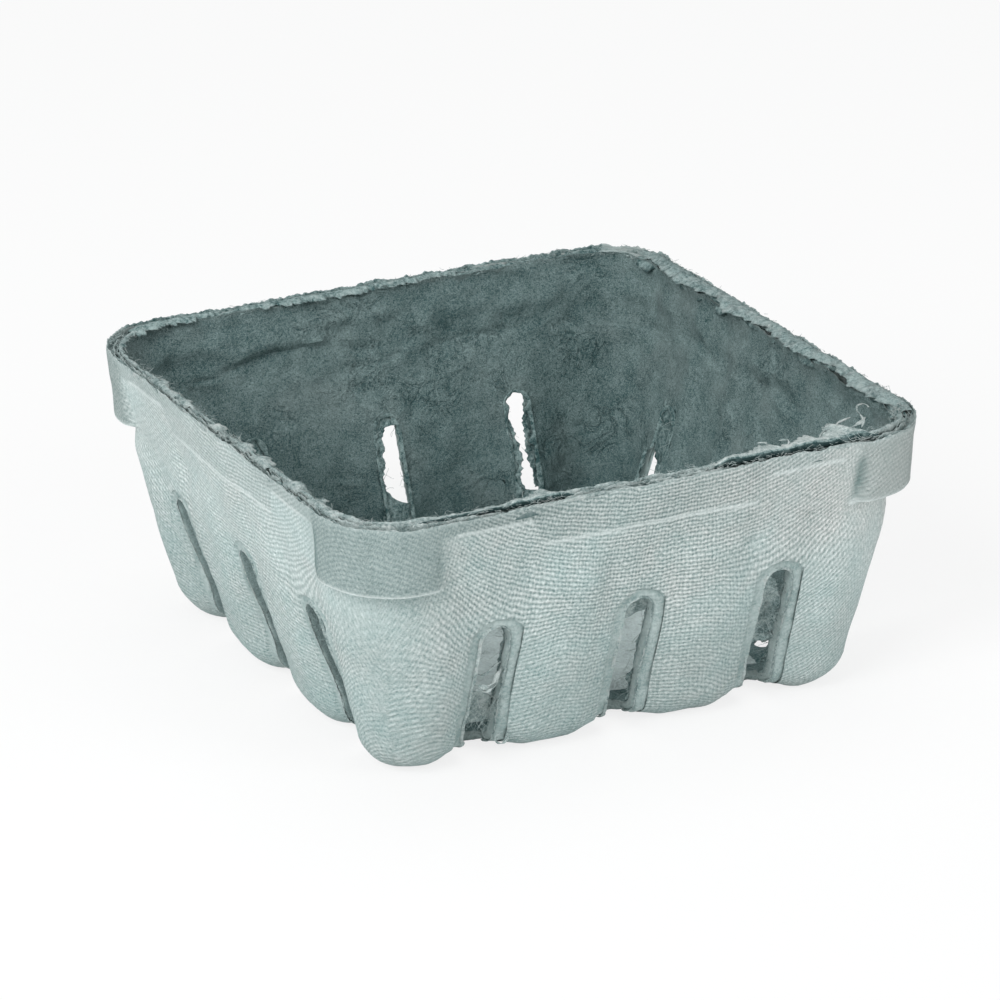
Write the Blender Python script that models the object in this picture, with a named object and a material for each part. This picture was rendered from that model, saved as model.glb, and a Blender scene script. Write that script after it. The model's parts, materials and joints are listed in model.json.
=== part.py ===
import math

import bmesh
import bpy
from mathutils import Matrix, Vector

# A one-piece moulded pulp berry basket, one dry pint.
# Metres, +Z up. The origin is the middle of the underside, on the surface it stands on.
# The front wall faces -Y and all four walls are alike.

# Overall sizes
RIM_WIDTH = 0.1270
BASKET_HEIGHT = 0.0570
BASE_WIDTH = 0.1013          # where the wall planes would meet the ground
PULP_THICKNESS = 0.0021

# Corner and edge radii of the outer face
RIM_CORNER_RADIUS = 0.0150
WALL_CORNER_RADIUS = 0.0188  # just under the lugs
EDGE_CORNER_RADIUS = 0.0099  # at the top of the rounded base edge
BASE_CORNER_RADIUS = 0.0060
BASE_EDGE_RADIUS = 0.0095

# Foot ring and the raised floor inside it
FOOT_WIDTH = 0.0040
FLOOR_RAMP_WIDTH = 0.0050
FLOOR_RISE = 0.0025

# Stacking lugs that go round the four corners
LUG_HEIGHT = 0.0143
LUG_START = 0.0450           # from the middle of a wall
LUG_END_BLEND = 0.0030
LUG_LEDGE_HEIGHT = 0.0016
LUG_FOOT_WIDTH = 0.1252      # over two lugs at their lower edge
LUG_HOLLOW_SHARE = .4        # how far the inner face follows a lug outwards

# Slots that let air through and wrap under the base edge
SLOTS_PER_WALL = 3
SLOT_PITCH = 0.0306
SLOT_WIDTH = 0.0056
SLOT_TOP_DEPTH = 0.0261      # from the rim down to the top of the arch
SLOT_END_INSET = 0.0405      # from the middle of the base to the slot's inner end
SLOT_BORDER_WIDTH = 0.0034
SLOT_BORDER_DEPTH = 0.0008
SLOT_LIP_EXTRA = 0.0012      # more pulp on the inside, beside each slot

# Flutes: the wall is drawn in along each line of slots, so the pillars stand proud
FLUTE_DEPTH = 0.0012
FLUTE_TOP_DEPTH = 0.0146

# Scallops: the base edge is drawn in and up beside each slot, so the pillars end in lobes
SCALLOP_DEPTH = 0.0020
SCALLOP_TOP_DEPTH = 0.0300

# How finely the shapes are divided
CORNER_STEPS = 5
EDGE_STEPS = 5
ARCH_STEPS = 5
END_STEPS = 8

CUT_OVERRUN = 0.0040
MERGE_DISTANCE = 0.000001
SMOOTH_ANGLE = math.radians(35)

# Stations along half a wall, closer together towards the lug's end
STATION_SHARES = [0, .105, .21, .315, .42, .525, .63, .735, .83, .9, .955]
SCALLOP_START_SHARE = .25    # of the flute's strength, so that the lobes stand on flat feet
LUG_LEVEL_SHARES = [.4, .75, 1]
WALL_LEVEL_SHARES = [.3, .65]

RIM_HALF = RIM_WIDTH / 2
BASE_HALF = BASE_WIDTH / 2
TAPER = (RIM_HALF - BASE_HALF) / BASKET_HEIGHT
WALL_ANGLE = math.atan(TAPER)
EDGE_CENTRE_HEIGHT = BASE_EDGE_RADIUS
EDGE_CENTRE_HALF = (
    BASE_HALF + TAPER * EDGE_CENTRE_HEIGHT - BASE_EDGE_RADIUS / math.cos(WALL_ANGLE)
)
EDGE_TOP_DEPTH = BASKET_HEIGHT - EDGE_CENTRE_HEIGHT + BASE_EDGE_RADIUS * math.sin(WALL_ANGLE)


def smooth_step(value, low, high):
    share = min(max((value - low) / (high - low), 0), 1)
    return share * share * (3 - 2 * share)


def mix(low, high, share):
    return low + (high - low) * share


def corner_radius(depth):
    """Radius of the wall's upright corner at a depth below the rim."""
    share = (depth - LUG_HEIGHT) / (EDGE_TOP_DEPTH - LUG_HEIGHT)
    return mix(WALL_CORNER_RADIUS, EDGE_CORNER_RADIUS, min(max(share, 0), 1))


def quarter_outline(half, radius):
    """One wall and its right corner, seen from above, for the wall that faces -Y."""
    straight = half - radius
    shares = [-share for share in reversed(STATION_SHARES[1:])] + STATION_SHARES
    points = [Vector((share * straight, -half)) for share in shares]
    for step in range(CORNER_STEPS + 1):
        angle = math.radians(90) * step / CORNER_STEPS
        points.append(
            Vector((
                straight + radius * math.sin(angle),
                -straight - radius * math.cos(angle),
            ))
        )
    return points


def lug_share(along, depth):
    """1 on a corner lug, 0 on the plain wall."""
    beside = smooth_step(along, LUG_START - LUG_END_BLEND / 2, LUG_START + LUG_END_BLEND / 2)
    below = 1 - smooth_step(depth, LUG_HEIGHT, LUG_HEIGHT + LUG_LEDGE_HEIGHT)
    return beside * below


def flute_share(along):
    """1 on the middle line of each slot, 0 on the pillars and the corners."""
    reach = SLOT_PITCH * SLOTS_PER_WALL / 2
    if along >= reach:
        return 0
    return (1 + math.cos(2 * math.pi * along / SLOT_PITCH)) / 2


def scallop_share(along):
    """1 on the middle line of each slot, 0 over the middle of each pillar."""
    return max(flute_share(along) - SCALLOP_START_SHARE, 0) / (1 - SCALLOP_START_SHARE)


def wall_ring(half, height, radius, inset, fade, lip, lift=0):
    """All four walls at one height, drawn in along the slots by the flutes and scallops."""
    follow = 1 if inset < PULP_THICKNESS else LUG_HOLLOW_SHARE
    depth = BASKET_HEIGHT - height
    lug_taper = (RIM_WIDTH - LUG_FOOT_WIDTH) / 2 / LUG_HEIGHT
    lug_half = RIM_HALF - lug_taper * min(depth, LUG_HEIGHT) - inset
    plain = quarter_outline(half, radius)
    lug = quarter_outline(lug_half, RIM_CORNER_RADIUS - inset)
    points = []
    for plain_point, lug_point in zip(plain, lug):
        point = plain_point.lerp(lug_point, follow * lug_share(abs(lug_point.x), depth))
        share = flute_share(abs(plain_point.x))
        flute = FLUTE_DEPTH * share * smooth_step(depth, FLUTE_TOP_DEPTH, EDGE_TOP_DEPTH)
        inner_lip = lip * share * share * smooth_step(depth, FLUTE_TOP_DEPTH, SLOT_TOP_DEPTH)
        reach = smooth_step(depth, SCALLOP_TOP_DEPTH, EDGE_TOP_DEPTH) * max(fade, lift)
        scallop = SCALLOP_DEPTH * scallop_share(abs(plain_point.x)) * reach
        point.y += (flute + inner_lip + scallop) * fade
        points.append(Vector((point.x, point.y, height + scallop * lift)))
    ring = []
    for side in range(4):
        turn = Matrix.Rotation(math.radians(90) * side, 2)
        for point in points:
            turned = turn @ point.xy
            ring.append(Vector((turned.x, turned.y, point.z)))
    return ring


def wall_levels():
    """Depths below the rim of the rings from the rim to the top of the base edge."""
    depths = [LUG_HEIGHT * share for share in LUG_LEVEL_SHARES]
    ledge = LUG_HEIGHT + LUG_LEDGE_HEIGHT
    depths.append(mix(LUG_HEIGHT, ledge, .5))
    depths.append(ledge)
    depths += [mix(ledge, EDGE_TOP_DEPTH, share) for share in WALL_LEVEL_SHARES]
    return depths


def skin_rings(inset, lip):
    """Rings of one face of the pulp, from the rim down to the raised floor."""
    slant_inset = inset / math.cos(WALL_ANGLE)
    rings = []
    for depth in [0] + wall_levels():
        half = RIM_HALF - TAPER * depth - slant_inset
        radius = corner_radius(depth) - inset
        rings.append(wall_ring(half, BASKET_HEIGHT - depth, radius, inset, 1, lip))
    edge_radius = BASE_EDGE_RADIUS - inset
    for step in range(EDGE_STEPS + 1):
        angle = mix(WALL_ANGLE, math.radians(90), step / EDGE_STEPS)
        half = EDGE_CENTRE_HALF + edge_radius * math.cos(angle)
        height = EDGE_CENTRE_HEIGHT - edge_radius * math.sin(angle)
        corner = mix(EDGE_CORNER_RADIUS, BASE_CORNER_RADIUS, step / EDGE_STEPS)
        radius = corner - inset * math.cos(angle)
        lift = math.sin(angle)
        rings.append(wall_ring(half, height, radius, inset, math.cos(angle), lip, lift))
    foot_inner = EDGE_CENTRE_HALF - FOOT_WIDTH
    panel_half = foot_inner - FLOOR_RAMP_WIDTH
    rings.append(wall_ring(foot_inner, inset, BASE_CORNER_RADIUS, inset, 0, lip))
    rings.append(wall_ring(panel_half, FLOOR_RISE + inset, BASE_CORNER_RADIUS, inset, 0, lip))
    return rings


def loft(name, rings):
    """One closed body whose skin is extruded from ring to ring and filled at both ends."""
    body = bmesh.new()
    first = [body.verts.new(point) for point in rings[0]]
    count = len(first)
    edges = [body.edges.new((first[i], first[(i + 1) % count])) for i in range(count)]
    body.faces.new(first)
    for ring in rings[1:]:
        made = bmesh.ops.extrude_edge_only(body, edges=edges)["geom"]
        fresh = [item for item in made if isinstance(item, bmesh.types.BMVert)]
        edges = [
            item for item in made
            if isinstance(item, bmesh.types.BMEdge) and all(v in fresh for v in item.verts)
        ]
        for vert, point in zip(fresh, ring):
            vert.co = point
    bmesh.ops.holes_fill(body, edges=edges, sides=count)
    bmesh.ops.recalc_face_normals(body, faces=body.faces)
    bmesh.ops.triangulate(body, faces=body.faces)
    mesh = bpy.data.meshes.new(name)
    body.to_mesh(mesh)
    body.free()
    return mesh


def add_object(name, mesh):
    thing = bpy.data.objects.new(name, mesh)
    bpy.context.scene.collection.objects.link(thing)
    return thing


def add_guide(name, mesh):
    """A cutter or a guide: it shapes the basket and is no piece of it."""
    thing = add_object(name, mesh)
    thing.hide_render = True
    thing.display_type = 'WIRE'
    return thing


def add_fin(body, half_width, top_height):
    """The mould's fin for one slot of the front wall: arched on top, round at its inner end."""
    end_centre = SLOT_END_INSET + SLOT_WIDTH / 2
    spring_height = top_height - half_width
    profile = [Vector((half_width, -end_centre, -CUT_OVERRUN))]
    for step in range(ARCH_STEPS + 1):
        angle = math.radians(90) * step / ARCH_STEPS
        across = half_width * math.cos(angle)
        up = half_width * math.sin(angle)
        profile.append(Vector((across, -end_centre, spring_height + up)))
    verts = [body.verts.new(point) for point in profile]
    edges = [body.edges.new(pair) for pair in zip(verts, verts[1:])]
    before = set(body.faces)
    bmesh.ops.spin(
        body, geom=verts + edges, cent=(0, -end_centre, 0), axis=(0, 0, 1),
        angle=math.radians(180), steps=END_STEPS,
    )
    round_end = [face for face in body.faces if face not in before]
    end_verts = list({vert for face in round_end for vert in face.verts})
    bmesh.ops.remove_doubles(body, verts=end_verts, dist=MERGE_DISTANCE)
    round_end = [face for face in body.faces if face not in before]
    arch = [
        edge for edge in {edge for face in round_end for edge in face.edges}
        if edge.is_boundary
        and all(abs(vert.co.y + end_centre) < MERGE_DISTANCE for vert in edge.verts)
    ]
    made = bmesh.ops.extrude_edge_only(body, edges=arch)["geom"]
    outer = [item for item in made if isinstance(item, bmesh.types.BMVert)]
    for vert in outer:
        vert.co.y = -RIM_HALF - CUT_OVERRUN
    feet = [vert for vert in outer if vert.co.z < 0]
    body.edges.new(feet)
    new_faces = [face for face in body.faces if face not in before]
    rim = [
        edge for edge in {edge for face in new_faces for edge in face.edges} if edge.is_boundary
    ]
    rim.append(feet[0].link_edges[-1])
    bmesh.ops.holes_fill(body, edges=rim, sides=len(rim))


def slot_fins(name, half_width, top_depth):
    """The fins of all twelve slots in one mesh, each a closed body."""
    body = bmesh.new()
    for side in range(4):
        for slot in range(SLOTS_PER_WALL):
            old = set(body.verts)
            add_fin(body, half_width, BASKET_HEIGHT - top_depth)
            fresh = [vert for vert in body.verts if vert not in old]
            along = (slot - (SLOTS_PER_WALL - 1) / 2) * SLOT_PITCH
            bmesh.ops.translate(body, verts=fresh, vec=(along, 0, 0))
            turn = Matrix.Rotation(math.radians(90) * side, 3, 'Z')
            bmesh.ops.rotate(body, verts=fresh, cent=(0, 0, 0), matrix=turn)
    bmesh.ops.recalc_face_normals(body, faces=body.faces)
    mesh = bpy.data.meshes.new(name)
    body.to_mesh(mesh)
    body.free()
    return mesh


def cut(target, cutter, name):
    modifier = target.modifiers.new(name, 'BOOLEAN')
    modifier.operation = 'DIFFERENCE'
    modifier.solver = 'EXACT'
    modifier.object = cutter


def pulp_material():
    material = bpy.data.materials.new("green_grey_pulp")
    material.use_nodes = True
    shader = material.node_tree.nodes["Principled BSDF"]
    shader.inputs["Base Color"].default_value = (.38, .49, .475, 1)
    shader.inputs["Roughness"].default_value = .92
    shader.inputs["Metallic"].default_value = 0
    return material


def make_basket():
    outside = skin_rings(0, 0)
    inside = skin_rings(PULP_THICKNESS, SLOT_LIP_EXTRA)
    basket = add_object("moulded_basket", loft("moulded_basket", outside[::-1] + inside))
    basket.data.materials.append(pulp_material())

    # The smooth borders go only as deep as a second skin just under the outer face
    core_rings = skin_rings(SLOT_BORDER_DEPTH, 0)
    lid = [point + Vector((0, 0, CUT_OVERRUN)) for point in core_rings[0]]
    core = add_guide("border_depth_guide", loft("border_depth_guide", [lid] + core_rings))
    borders = add_guide(
        "slot_border_cutter",
        slot_fins(
            "slot_border_cutter",
            SLOT_WIDTH / 2 + SLOT_BORDER_WIDTH,
            SLOT_TOP_DEPTH - SLOT_BORDER_WIDTH,
        ),
    )
    cut(borders, core, "keep_the_outer_layer")
    cut(basket, borders, "slot_borders")

    openings = add_guide(
        "slot_opening_cutter",
        slot_fins("slot_opening_cutter", SLOT_WIDTH / 2, SLOT_TOP_DEPTH),
    )
    cut(basket, openings, "slot_openings")

    basket.data.shade_smooth()
    basket.data.set_sharp_from_angle(angle=SMOOTH_ANGLE)


def main():
    for thing in list(bpy.data.objects):
        bpy.data.objects.remove(thing, do_unlink=True)
    make_basket()


main()
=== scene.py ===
import json
import math
import random

import bmesh
import bpy
import numpy as np
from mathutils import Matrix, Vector, noise

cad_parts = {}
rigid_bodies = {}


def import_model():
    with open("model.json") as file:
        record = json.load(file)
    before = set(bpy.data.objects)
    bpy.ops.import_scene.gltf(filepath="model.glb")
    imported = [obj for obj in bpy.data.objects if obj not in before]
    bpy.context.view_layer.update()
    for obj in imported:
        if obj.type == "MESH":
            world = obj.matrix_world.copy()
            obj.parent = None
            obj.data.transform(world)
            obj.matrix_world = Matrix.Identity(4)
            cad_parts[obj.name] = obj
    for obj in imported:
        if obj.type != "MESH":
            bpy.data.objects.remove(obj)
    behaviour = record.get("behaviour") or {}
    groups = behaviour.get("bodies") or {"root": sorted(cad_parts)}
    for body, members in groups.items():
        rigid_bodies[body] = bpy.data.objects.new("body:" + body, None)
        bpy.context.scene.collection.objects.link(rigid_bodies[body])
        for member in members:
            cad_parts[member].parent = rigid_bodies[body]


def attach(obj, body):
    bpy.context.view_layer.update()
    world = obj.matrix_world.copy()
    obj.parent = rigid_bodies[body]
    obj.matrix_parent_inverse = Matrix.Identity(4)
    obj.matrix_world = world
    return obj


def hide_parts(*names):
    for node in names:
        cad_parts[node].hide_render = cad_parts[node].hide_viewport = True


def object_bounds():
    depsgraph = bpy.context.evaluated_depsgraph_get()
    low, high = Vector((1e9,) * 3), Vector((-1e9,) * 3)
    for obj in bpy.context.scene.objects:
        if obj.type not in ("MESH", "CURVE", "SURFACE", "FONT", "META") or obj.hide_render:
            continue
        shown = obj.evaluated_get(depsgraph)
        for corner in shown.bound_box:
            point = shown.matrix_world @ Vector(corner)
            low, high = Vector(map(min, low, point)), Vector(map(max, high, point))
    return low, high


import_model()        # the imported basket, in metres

for thing in list(bpy.data.objects):        # a factory scene may hold a cube, a lamp and a camera
    if thing.name in ("Cube", "Light", "Camera"):
        bpy.data.objects.remove(thing, do_unlink=True)

lowCorner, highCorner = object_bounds()

mm = .001

# The basket's own sizes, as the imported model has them
basket = {
    "rimHalf": (highCorner.x - lowCorner.x) / 2,
    "height": highCorner.z - lowCorner.z,
    "baseHalf": 50.65 * mm,
    "pulp": 2.1 * mm,
    "rimRadius": 15 * mm,
    "wallRadius": 18.8 * mm,
    "edgeCorner": 9.9 * mm,
    "footRadius": 6 * mm,
    "edgeRadius": 9.5 * mm,
    "footWidth": 4 * mm,
    "rampWidth": 5 * mm,
    "floorRise": 2.5 * mm,
    "lugHeight": 14 * mm,
    "lugStart": 45 * mm,
    "lugBlend": 1.5 * mm,
    "lugLedge": .5 * mm,
    "lugShort": 13 * mm,        # the lug at the right end of the front wall came out shorter
    "lugLate": .9 * mm,         # and starts further out
    "lugFootHalf": 62.6 * mm,
    "lugHollow": .4,
    "slotPitch": 30.6 * mm,
    "slotHalf": 2.8 * mm,
    "slotTop": 26.1 * mm,
    "slotEnd": 43.3 * mm,       # centre of the slot's round inner end
    "slotMouth": 6.45 * mm,     # half the width of the patch that each slot is cut in
    "fluteDepth": 1.2 * mm,
    "fluteTop": 14.6 * mm,
    "scallopDepth": 2 * mm,
    "scallopTop": 30 * mm,
    "scallopStart": .25,
    "lipExtra": .5 * mm,
}
basket["taper"] = (basket["rimHalf"] - basket["baseHalf"]) / basket["height"]
basket["slant"] = math.atan(basket["taper"])
basket["edgeHalf"] = (
    basket["baseHalf"] + basket["taper"] * basket["edgeRadius"]
    - basket["edgeRadius"] / math.cos(basket["slant"])
)
basket["edgeTop"] = (
    basket["height"] - basket["edgeRadius"] + basket["edgeRadius"] * math.sin(basket["slant"])
)
basket["evenHalf"] = basket["edgeHalf"] - basket["footRadius"]      # columns stay upright up to here
wallEnd = basket["edgeTop"] / math.cos(basket["slant"])
edgeEnd = wallEnd + basket["edgeRadius"] * (math.pi / 2 - basket["slant"])
sheetEnd = edgeEnd + basket["footRadius"]


def smoothStep(value, low, high):
    share = np.clip((value - low) / (high - low), 0, 1)
    return share * share * (3 - 2 * share)


def mixed(low, high, share):
    return low + (high - low) * share


def footHeight(x, y):       # height of the underside: flat ring, ramp, raised floor
    ax, ay, r = np.abs(x), np.abs(y), basket["footRadius"]
    gap = np.clip(ax - ay, -r, r)
    rounded = (ax + ay - np.sqrt(2 * r * r - gap * gap)) / 2 + r
    ring = np.where(np.abs(ax - ay) < r, rounded, np.maximum(ax, ay))
    inner = basket["edgeHalf"] - basket["footWidth"]
    return basket["floorRise"] * (1 - smoothStep(ring, inner - basket["rampWidth"], inner))


def roundTheCorner(across, half, radius, reach):
    # a point on one wall and its corners, seen from above, for the wall that faces -Y
    size = np.abs(across)
    even = basket["evenHalf"]
    straight = half - radius
    run = np.clip((size - even) / reach, 0, 1) * (straight - even + radius * math.pi / 4)
    angle = np.clip((run - (straight - even)) / np.maximum(radius, 1e-9), 0, math.pi / 4)
    onArc = run > straight - even
    x = np.where(onArc, straight + radius * np.sin(angle), even + run)
    x = np.where(size <= even, size, x)
    y = np.where(onArc & (size > even), -straight - radius * np.cos(angle), -half)
    length = np.where(size <= even, size, even + run)
    return np.sign(across) * x, y, np.sign(across) * length


sheet = {
    "reach": 20 * mm,                       # pattern width of one corner half
    "cornerColumns": 16,
    "slotColumns": 12,
    "pillarColumns": 17,
    "rimRows": [0, .3, .7, 1.2, 1.8, 2.5, 3.4, 4.4],
    "lugRows": [
        5.5, 6.6, 7.7, 8.8, 9.9, 11, 12, 12.8, 13.2, 13.4, 13.6, 13.9, 14.2, 14.38, 14.54, 14.7, 14.9, 15.3, 16.2,
    ],
    "upperRows": [17.1, 18.2, 19.3, 20.4, 21.6],
    "slotRowStart": 22.9,
    "wallRows": 27,
    "edgeRows": 12,
    "footRings": [42.3, 41.4, 40.5, 39.6, 38.7, 38, 37.35],
    "borderSides": [.76, .93],              # share of a border's full width left and right of its slot
    "borderTop": .58,                       # and above its arch
    "borderEnd": .86,                       # how much shorter the slot's inner end is than a half circle
    "slotLoops": [3.62, 3.42, 3.16, 2.85, 2.4, 1.9, 1.45, .95, .4, 0],
}


def columnPlaces():
    even, pitch, mouth = basket["evenHalf"], basket["slotPitch"], basket["slotMouth"]
    marks = [-even - sheet["reach"], -pitch - mouth, -pitch + mouth, -mouth, mouth, pitch - mouth]
    marks += [pitch + mouth, even + sheet["reach"]]
    counts = [sheet["cornerColumns"], sheet["slotColumns"], sheet["pillarColumns"]]
    counts += [sheet["slotColumns"], sheet["pillarColumns"], sheet["slotColumns"], sheet["cornerColumns"]]
    places = [marks[0]]
    for left, right, count in zip(marks, marks[1:], counts):
        places += list(np.linspace(left, right, count + 1)[1:])
    return np.array(places)


def rowPlaces():
    rows = [row * mm for row in sheet["rimRows"] + sheet["lugRows"] + sheet["upperRows"]]
    rows += list(np.linspace(sheet["slotRowStart"] * mm, wallEnd, sheet["wallRows"]))
    rows += list(np.linspace(wallEnd, edgeEnd, sheet["edgeRows"] + 1)[1:])
    rows += [edgeEnd + basket["edgeHalf"] - ring * mm for ring in sheet["footRings"]]
    return np.array(rows + [sheetEnd])


def layPulp(across, down, inset, follow, lugHeight=basket["lugHeight"]):
    # where a point of the flat pattern comes to lie on the front wall, and its true run across
    cosSlant = math.cos(basket["slant"])
    depth = np.minimum(down, wallEnd) * cosSlant
    angle = basket["slant"] + np.clip(down - wallEnd, 0, edgeEnd - wallEnd) / basket["edgeRadius"]
    under = np.clip(down - edgeEnd, 0, None)
    onWall, onFoot = down <= wallEnd, down > edgeEnd
    edgeRadius = basket["edgeRadius"] - inset
    half = basket["edgeHalf"] + edgeRadius * np.cos(angle) - under
    half = np.where(onWall, basket["rimHalf"] - basket["taper"] * depth - inset / cosSlant, half)
    height = np.where(onWall, basket["height"] - depth, basket["edgeRadius"] - edgeRadius * np.sin(angle))
    share = (depth - lugHeight) / (basket["edgeTop"] - lugHeight)
    radius = mixed(basket["wallRadius"], basket["edgeCorner"], np.clip(share, 0, 1)) - inset
    bend = np.clip((angle - basket["slant"]) / (math.pi / 2 - basket["slant"]), 0, 1)
    edgeCorner = mixed(basket["edgeCorner"], basket["footRadius"], bend)
    radius = np.where(onWall, radius, edgeCorner - inset * np.cos(angle))
    radius = np.where(onFoot, np.maximum(basket["footRadius"] - under, 0), radius)
    x, y, run = roundTheCorner(across, half, radius, sheet["reach"])
    # the stacking lugs stand out round the corners
    lugTaper = (basket["rimHalf"] - basket["lugFootHalf"]) / lugHeight
    lugHalf = basket["rimHalf"] - lugTaper * np.minimum(depth, lugHeight) - inset
    lx, ly, _ = roundTheCorner(across, lugHalf, basket["rimRadius"] - inset, sheet["reach"])
    start, blend = basket["lugStart"] + basket["lugLate"] * (lugHeight < basket["lugHeight"]), basket["lugBlend"]
    beside = smoothStep(np.abs(lx), start - blend / 2, start + blend / 2)
    below = 1 - smoothStep(depth, lugHeight, lugHeight + basket["lugLedge"])
    lug = beside * below * follow
    x, y = mixed(x, lx, lug), mixed(y, ly, lug)
    # flutes draw the wall in along the slots, and the inner face swells beside them
    flute = (1 + np.cos(2 * math.pi * x / basket["slotPitch"])) / 2
    flute = np.where(np.abs(x) < basket["slotPitch"] * 1.5, flute, 0)
    fade = np.where(onWall, 1, np.cos(angle) * ~onFoot)
    drawn = basket["fluteDepth"] * flute * smoothStep(depth, basket["fluteTop"], basket["edgeTop"])
    swell = basket["lipExtra"] * flute ** 2 * smoothStep(depth, basket["fluteTop"], basket["slotTop"])
    # scallops draw the base edge in and up beside the slots
    lobe = np.clip(flute - basket["scallopStart"], 0, 1) / (1 - basket["scallopStart"])
    lift = np.where(onWall, 0, np.where(onFoot, np.clip(1 - under / basket["footWidth"], 0, 1), np.sin(angle)))
    scallop = basket["scallopDepth"] * lobe * smoothStep(depth, basket["scallopTop"], basket["edgeTop"])
    scallop = scallop * np.maximum(fade, np.minimum(lift, 1))
    scallop = np.where(onFoot, basket["scallopDepth"] * lobe, scallop)
    y = y + (drawn + swell * np.clip(inset / basket["pulp"], 0, 1) + scallop) * fade
    height = np.where(onFoot, footHeight(x, y) + inset, height) + scallop * lift
    return np.stack([x, y, height], 1), run


def slotOutline(homeAcross, homeDown, gap):
    # the point at a distance from the slot's edge that belongs to a point of its patch's border
    centres = np.array([-1, 0, 1]) * basket["slotPitch"]
    centre = centres[np.argmin(np.abs(centres - homeAcross))]
    top = (basket["slotTop"] + basket["slotHalf"]) / math.cos(basket["slant"])
    bottom = edgeEnd + basket["edgeHalf"] - basket["slotEnd"]
    side = homeAcross - centre
    borderShare = sheet["borderSides"][side > 0]
    if top <= homeDown <= bottom:
        half = basket["slotHalf"] + gap * borderShare
        return centre + math.copysign(half, side), homeDown, (math.copysign(1, side), 0)
    onArch = homeDown < top
    rise = homeDown - (top if onArch else bottom)
    size = math.hypot(side, rise)
    out = (side / size, rise / size)
    if onArch:
        borderShare = mixed(borderShare, sheet["borderTop"], (rise / size) ** 2)
    half = basket["slotHalf"] + gap * borderShare
    squeeze = 1 if onArch else sheet["borderEnd"]
    return centre + out[0] * half, homeDown - rise + out[1] * half * squeeze, out


def selectOnly(*pieces):        # the last one becomes the active one
    bpy.ops.object.select_all(action='DESELECT')
    for piece in pieces:
        piece.select_set(True)
    bpy.context.view_layer.objects.active = pieces[-1] if pieces else None


def editPiece(piece, choose='DESELECT'):
    selectOnly(piece)
    bpy.ops.object.mode_set(mode='EDIT')
    bpy.ops.mesh.select_all(action=choose)


def weld(piece, distance):      # merges the points that meet and turns the faces outwards
    editPiece(piece, 'SELECT')
    if distance:
        bpy.ops.mesh.remove_doubles(threshold=distance)
    bpy.ops.mesh.normals_make_consistent(inside=False)
    bpy.ops.object.mode_set(mode='OBJECT')


def thicken(piece, thickness, offset):
    selectOnly(piece)
    sheetOfPulp = piece.modifiers.new("pulp", 'SOLIDIFY')
    sheetOfPulp.thickness = thickness
    sheetOfPulp.offset = offset
    bpy.ops.object.modifier_apply(modifier="pulp")


def attributeOf(piece, name, values):
    data = piece.data.attributes.get(name) or piece.data.attributes.new(name, 'FLOAT', 'POINT')
    data.data.foreach_set("value", np.asarray(values, np.float32))


def readAttribute(piece, name):
    values = np.zeros(len(piece.data.vertices), np.float32)
    piece.data.attributes[name].data.foreach_get("value", values)
    return values.astype(float)


def places(piece):
    flat = np.zeros(len(piece.data.vertices) * 3, np.float32)
    piece.data.vertices.foreach_get("co", flat)
    return flat.reshape(-1, 3).astype(float)


def moveTo(piece, points):
    piece.data.vertices.foreach_set("co", np.asarray(points, np.float32).ravel())
    piece.data.update()


def addGrid(name, columnCount, rowCount):       # with the column and the row of each point, from the upper left
    selectOnly()
    bpy.ops.mesh.primitive_grid_add(x_subdivisions=columnCount - 1, y_subdivisions=rowCount - 1, size=1)
    piece = bpy.context.object
    piece.name = name
    flat = places(piece)
    column = np.rint((flat[:, 0] + .5) * (columnCount - 1)).astype(int)
    row = np.rint((.5 - flat[:, 1]) * (rowCount - 1)).astype(int)
    return piece, column, row


def layPattern(piece, across, down):        # the forming screen's own measures, as the piece's UV map
    pattern = piece.data.uv_layers.active or piece.data.uv_layers.new()
    pattern.name = "screenPattern"
    corners = np.zeros(len(piece.data.loops), np.int32)
    piece.data.loops.foreach_get("vertex_index", corners)
    pattern.data.foreach_set("uv", np.stack([across, down], 1)[corners].astype(np.float32).ravel())


# One wall of the basket as a flat pattern, with its three slots opened in it
columns, rows = columnPlaces(), rowPlaces()
wall, column, row = addGrid("pulpBasket", len(columns), len(rows))
moveTo(wall, np.stack([columns[column], -rows[row], np.zeros(len(row))], 1))
flat = places(wall)
attributeOf(wall, "homeAcross", flat[:, 0])
attributeOf(wall, "homeDown", -flat[:, 1])
attributeOf(wall, "slotGap", np.full(len(flat), basket["slotMouth"]))
attributeOf(wall, "slotOutX", np.zeros(len(flat)))
attributeOf(wall, "slotOutY", np.zeros(len(flat)))
editPiece(wall)


def inSlotPatch(face):
    middle = face.calc_center_median()
    slot = round(middle.x / basket["slotPitch"])
    if abs(slot) > 1 or abs(middle.x - slot * basket["slotPitch"]) > basket["slotMouth"]:
        return False
    return sheet["slotRowStart"] * mm < -middle.y < rows[-2]


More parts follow.
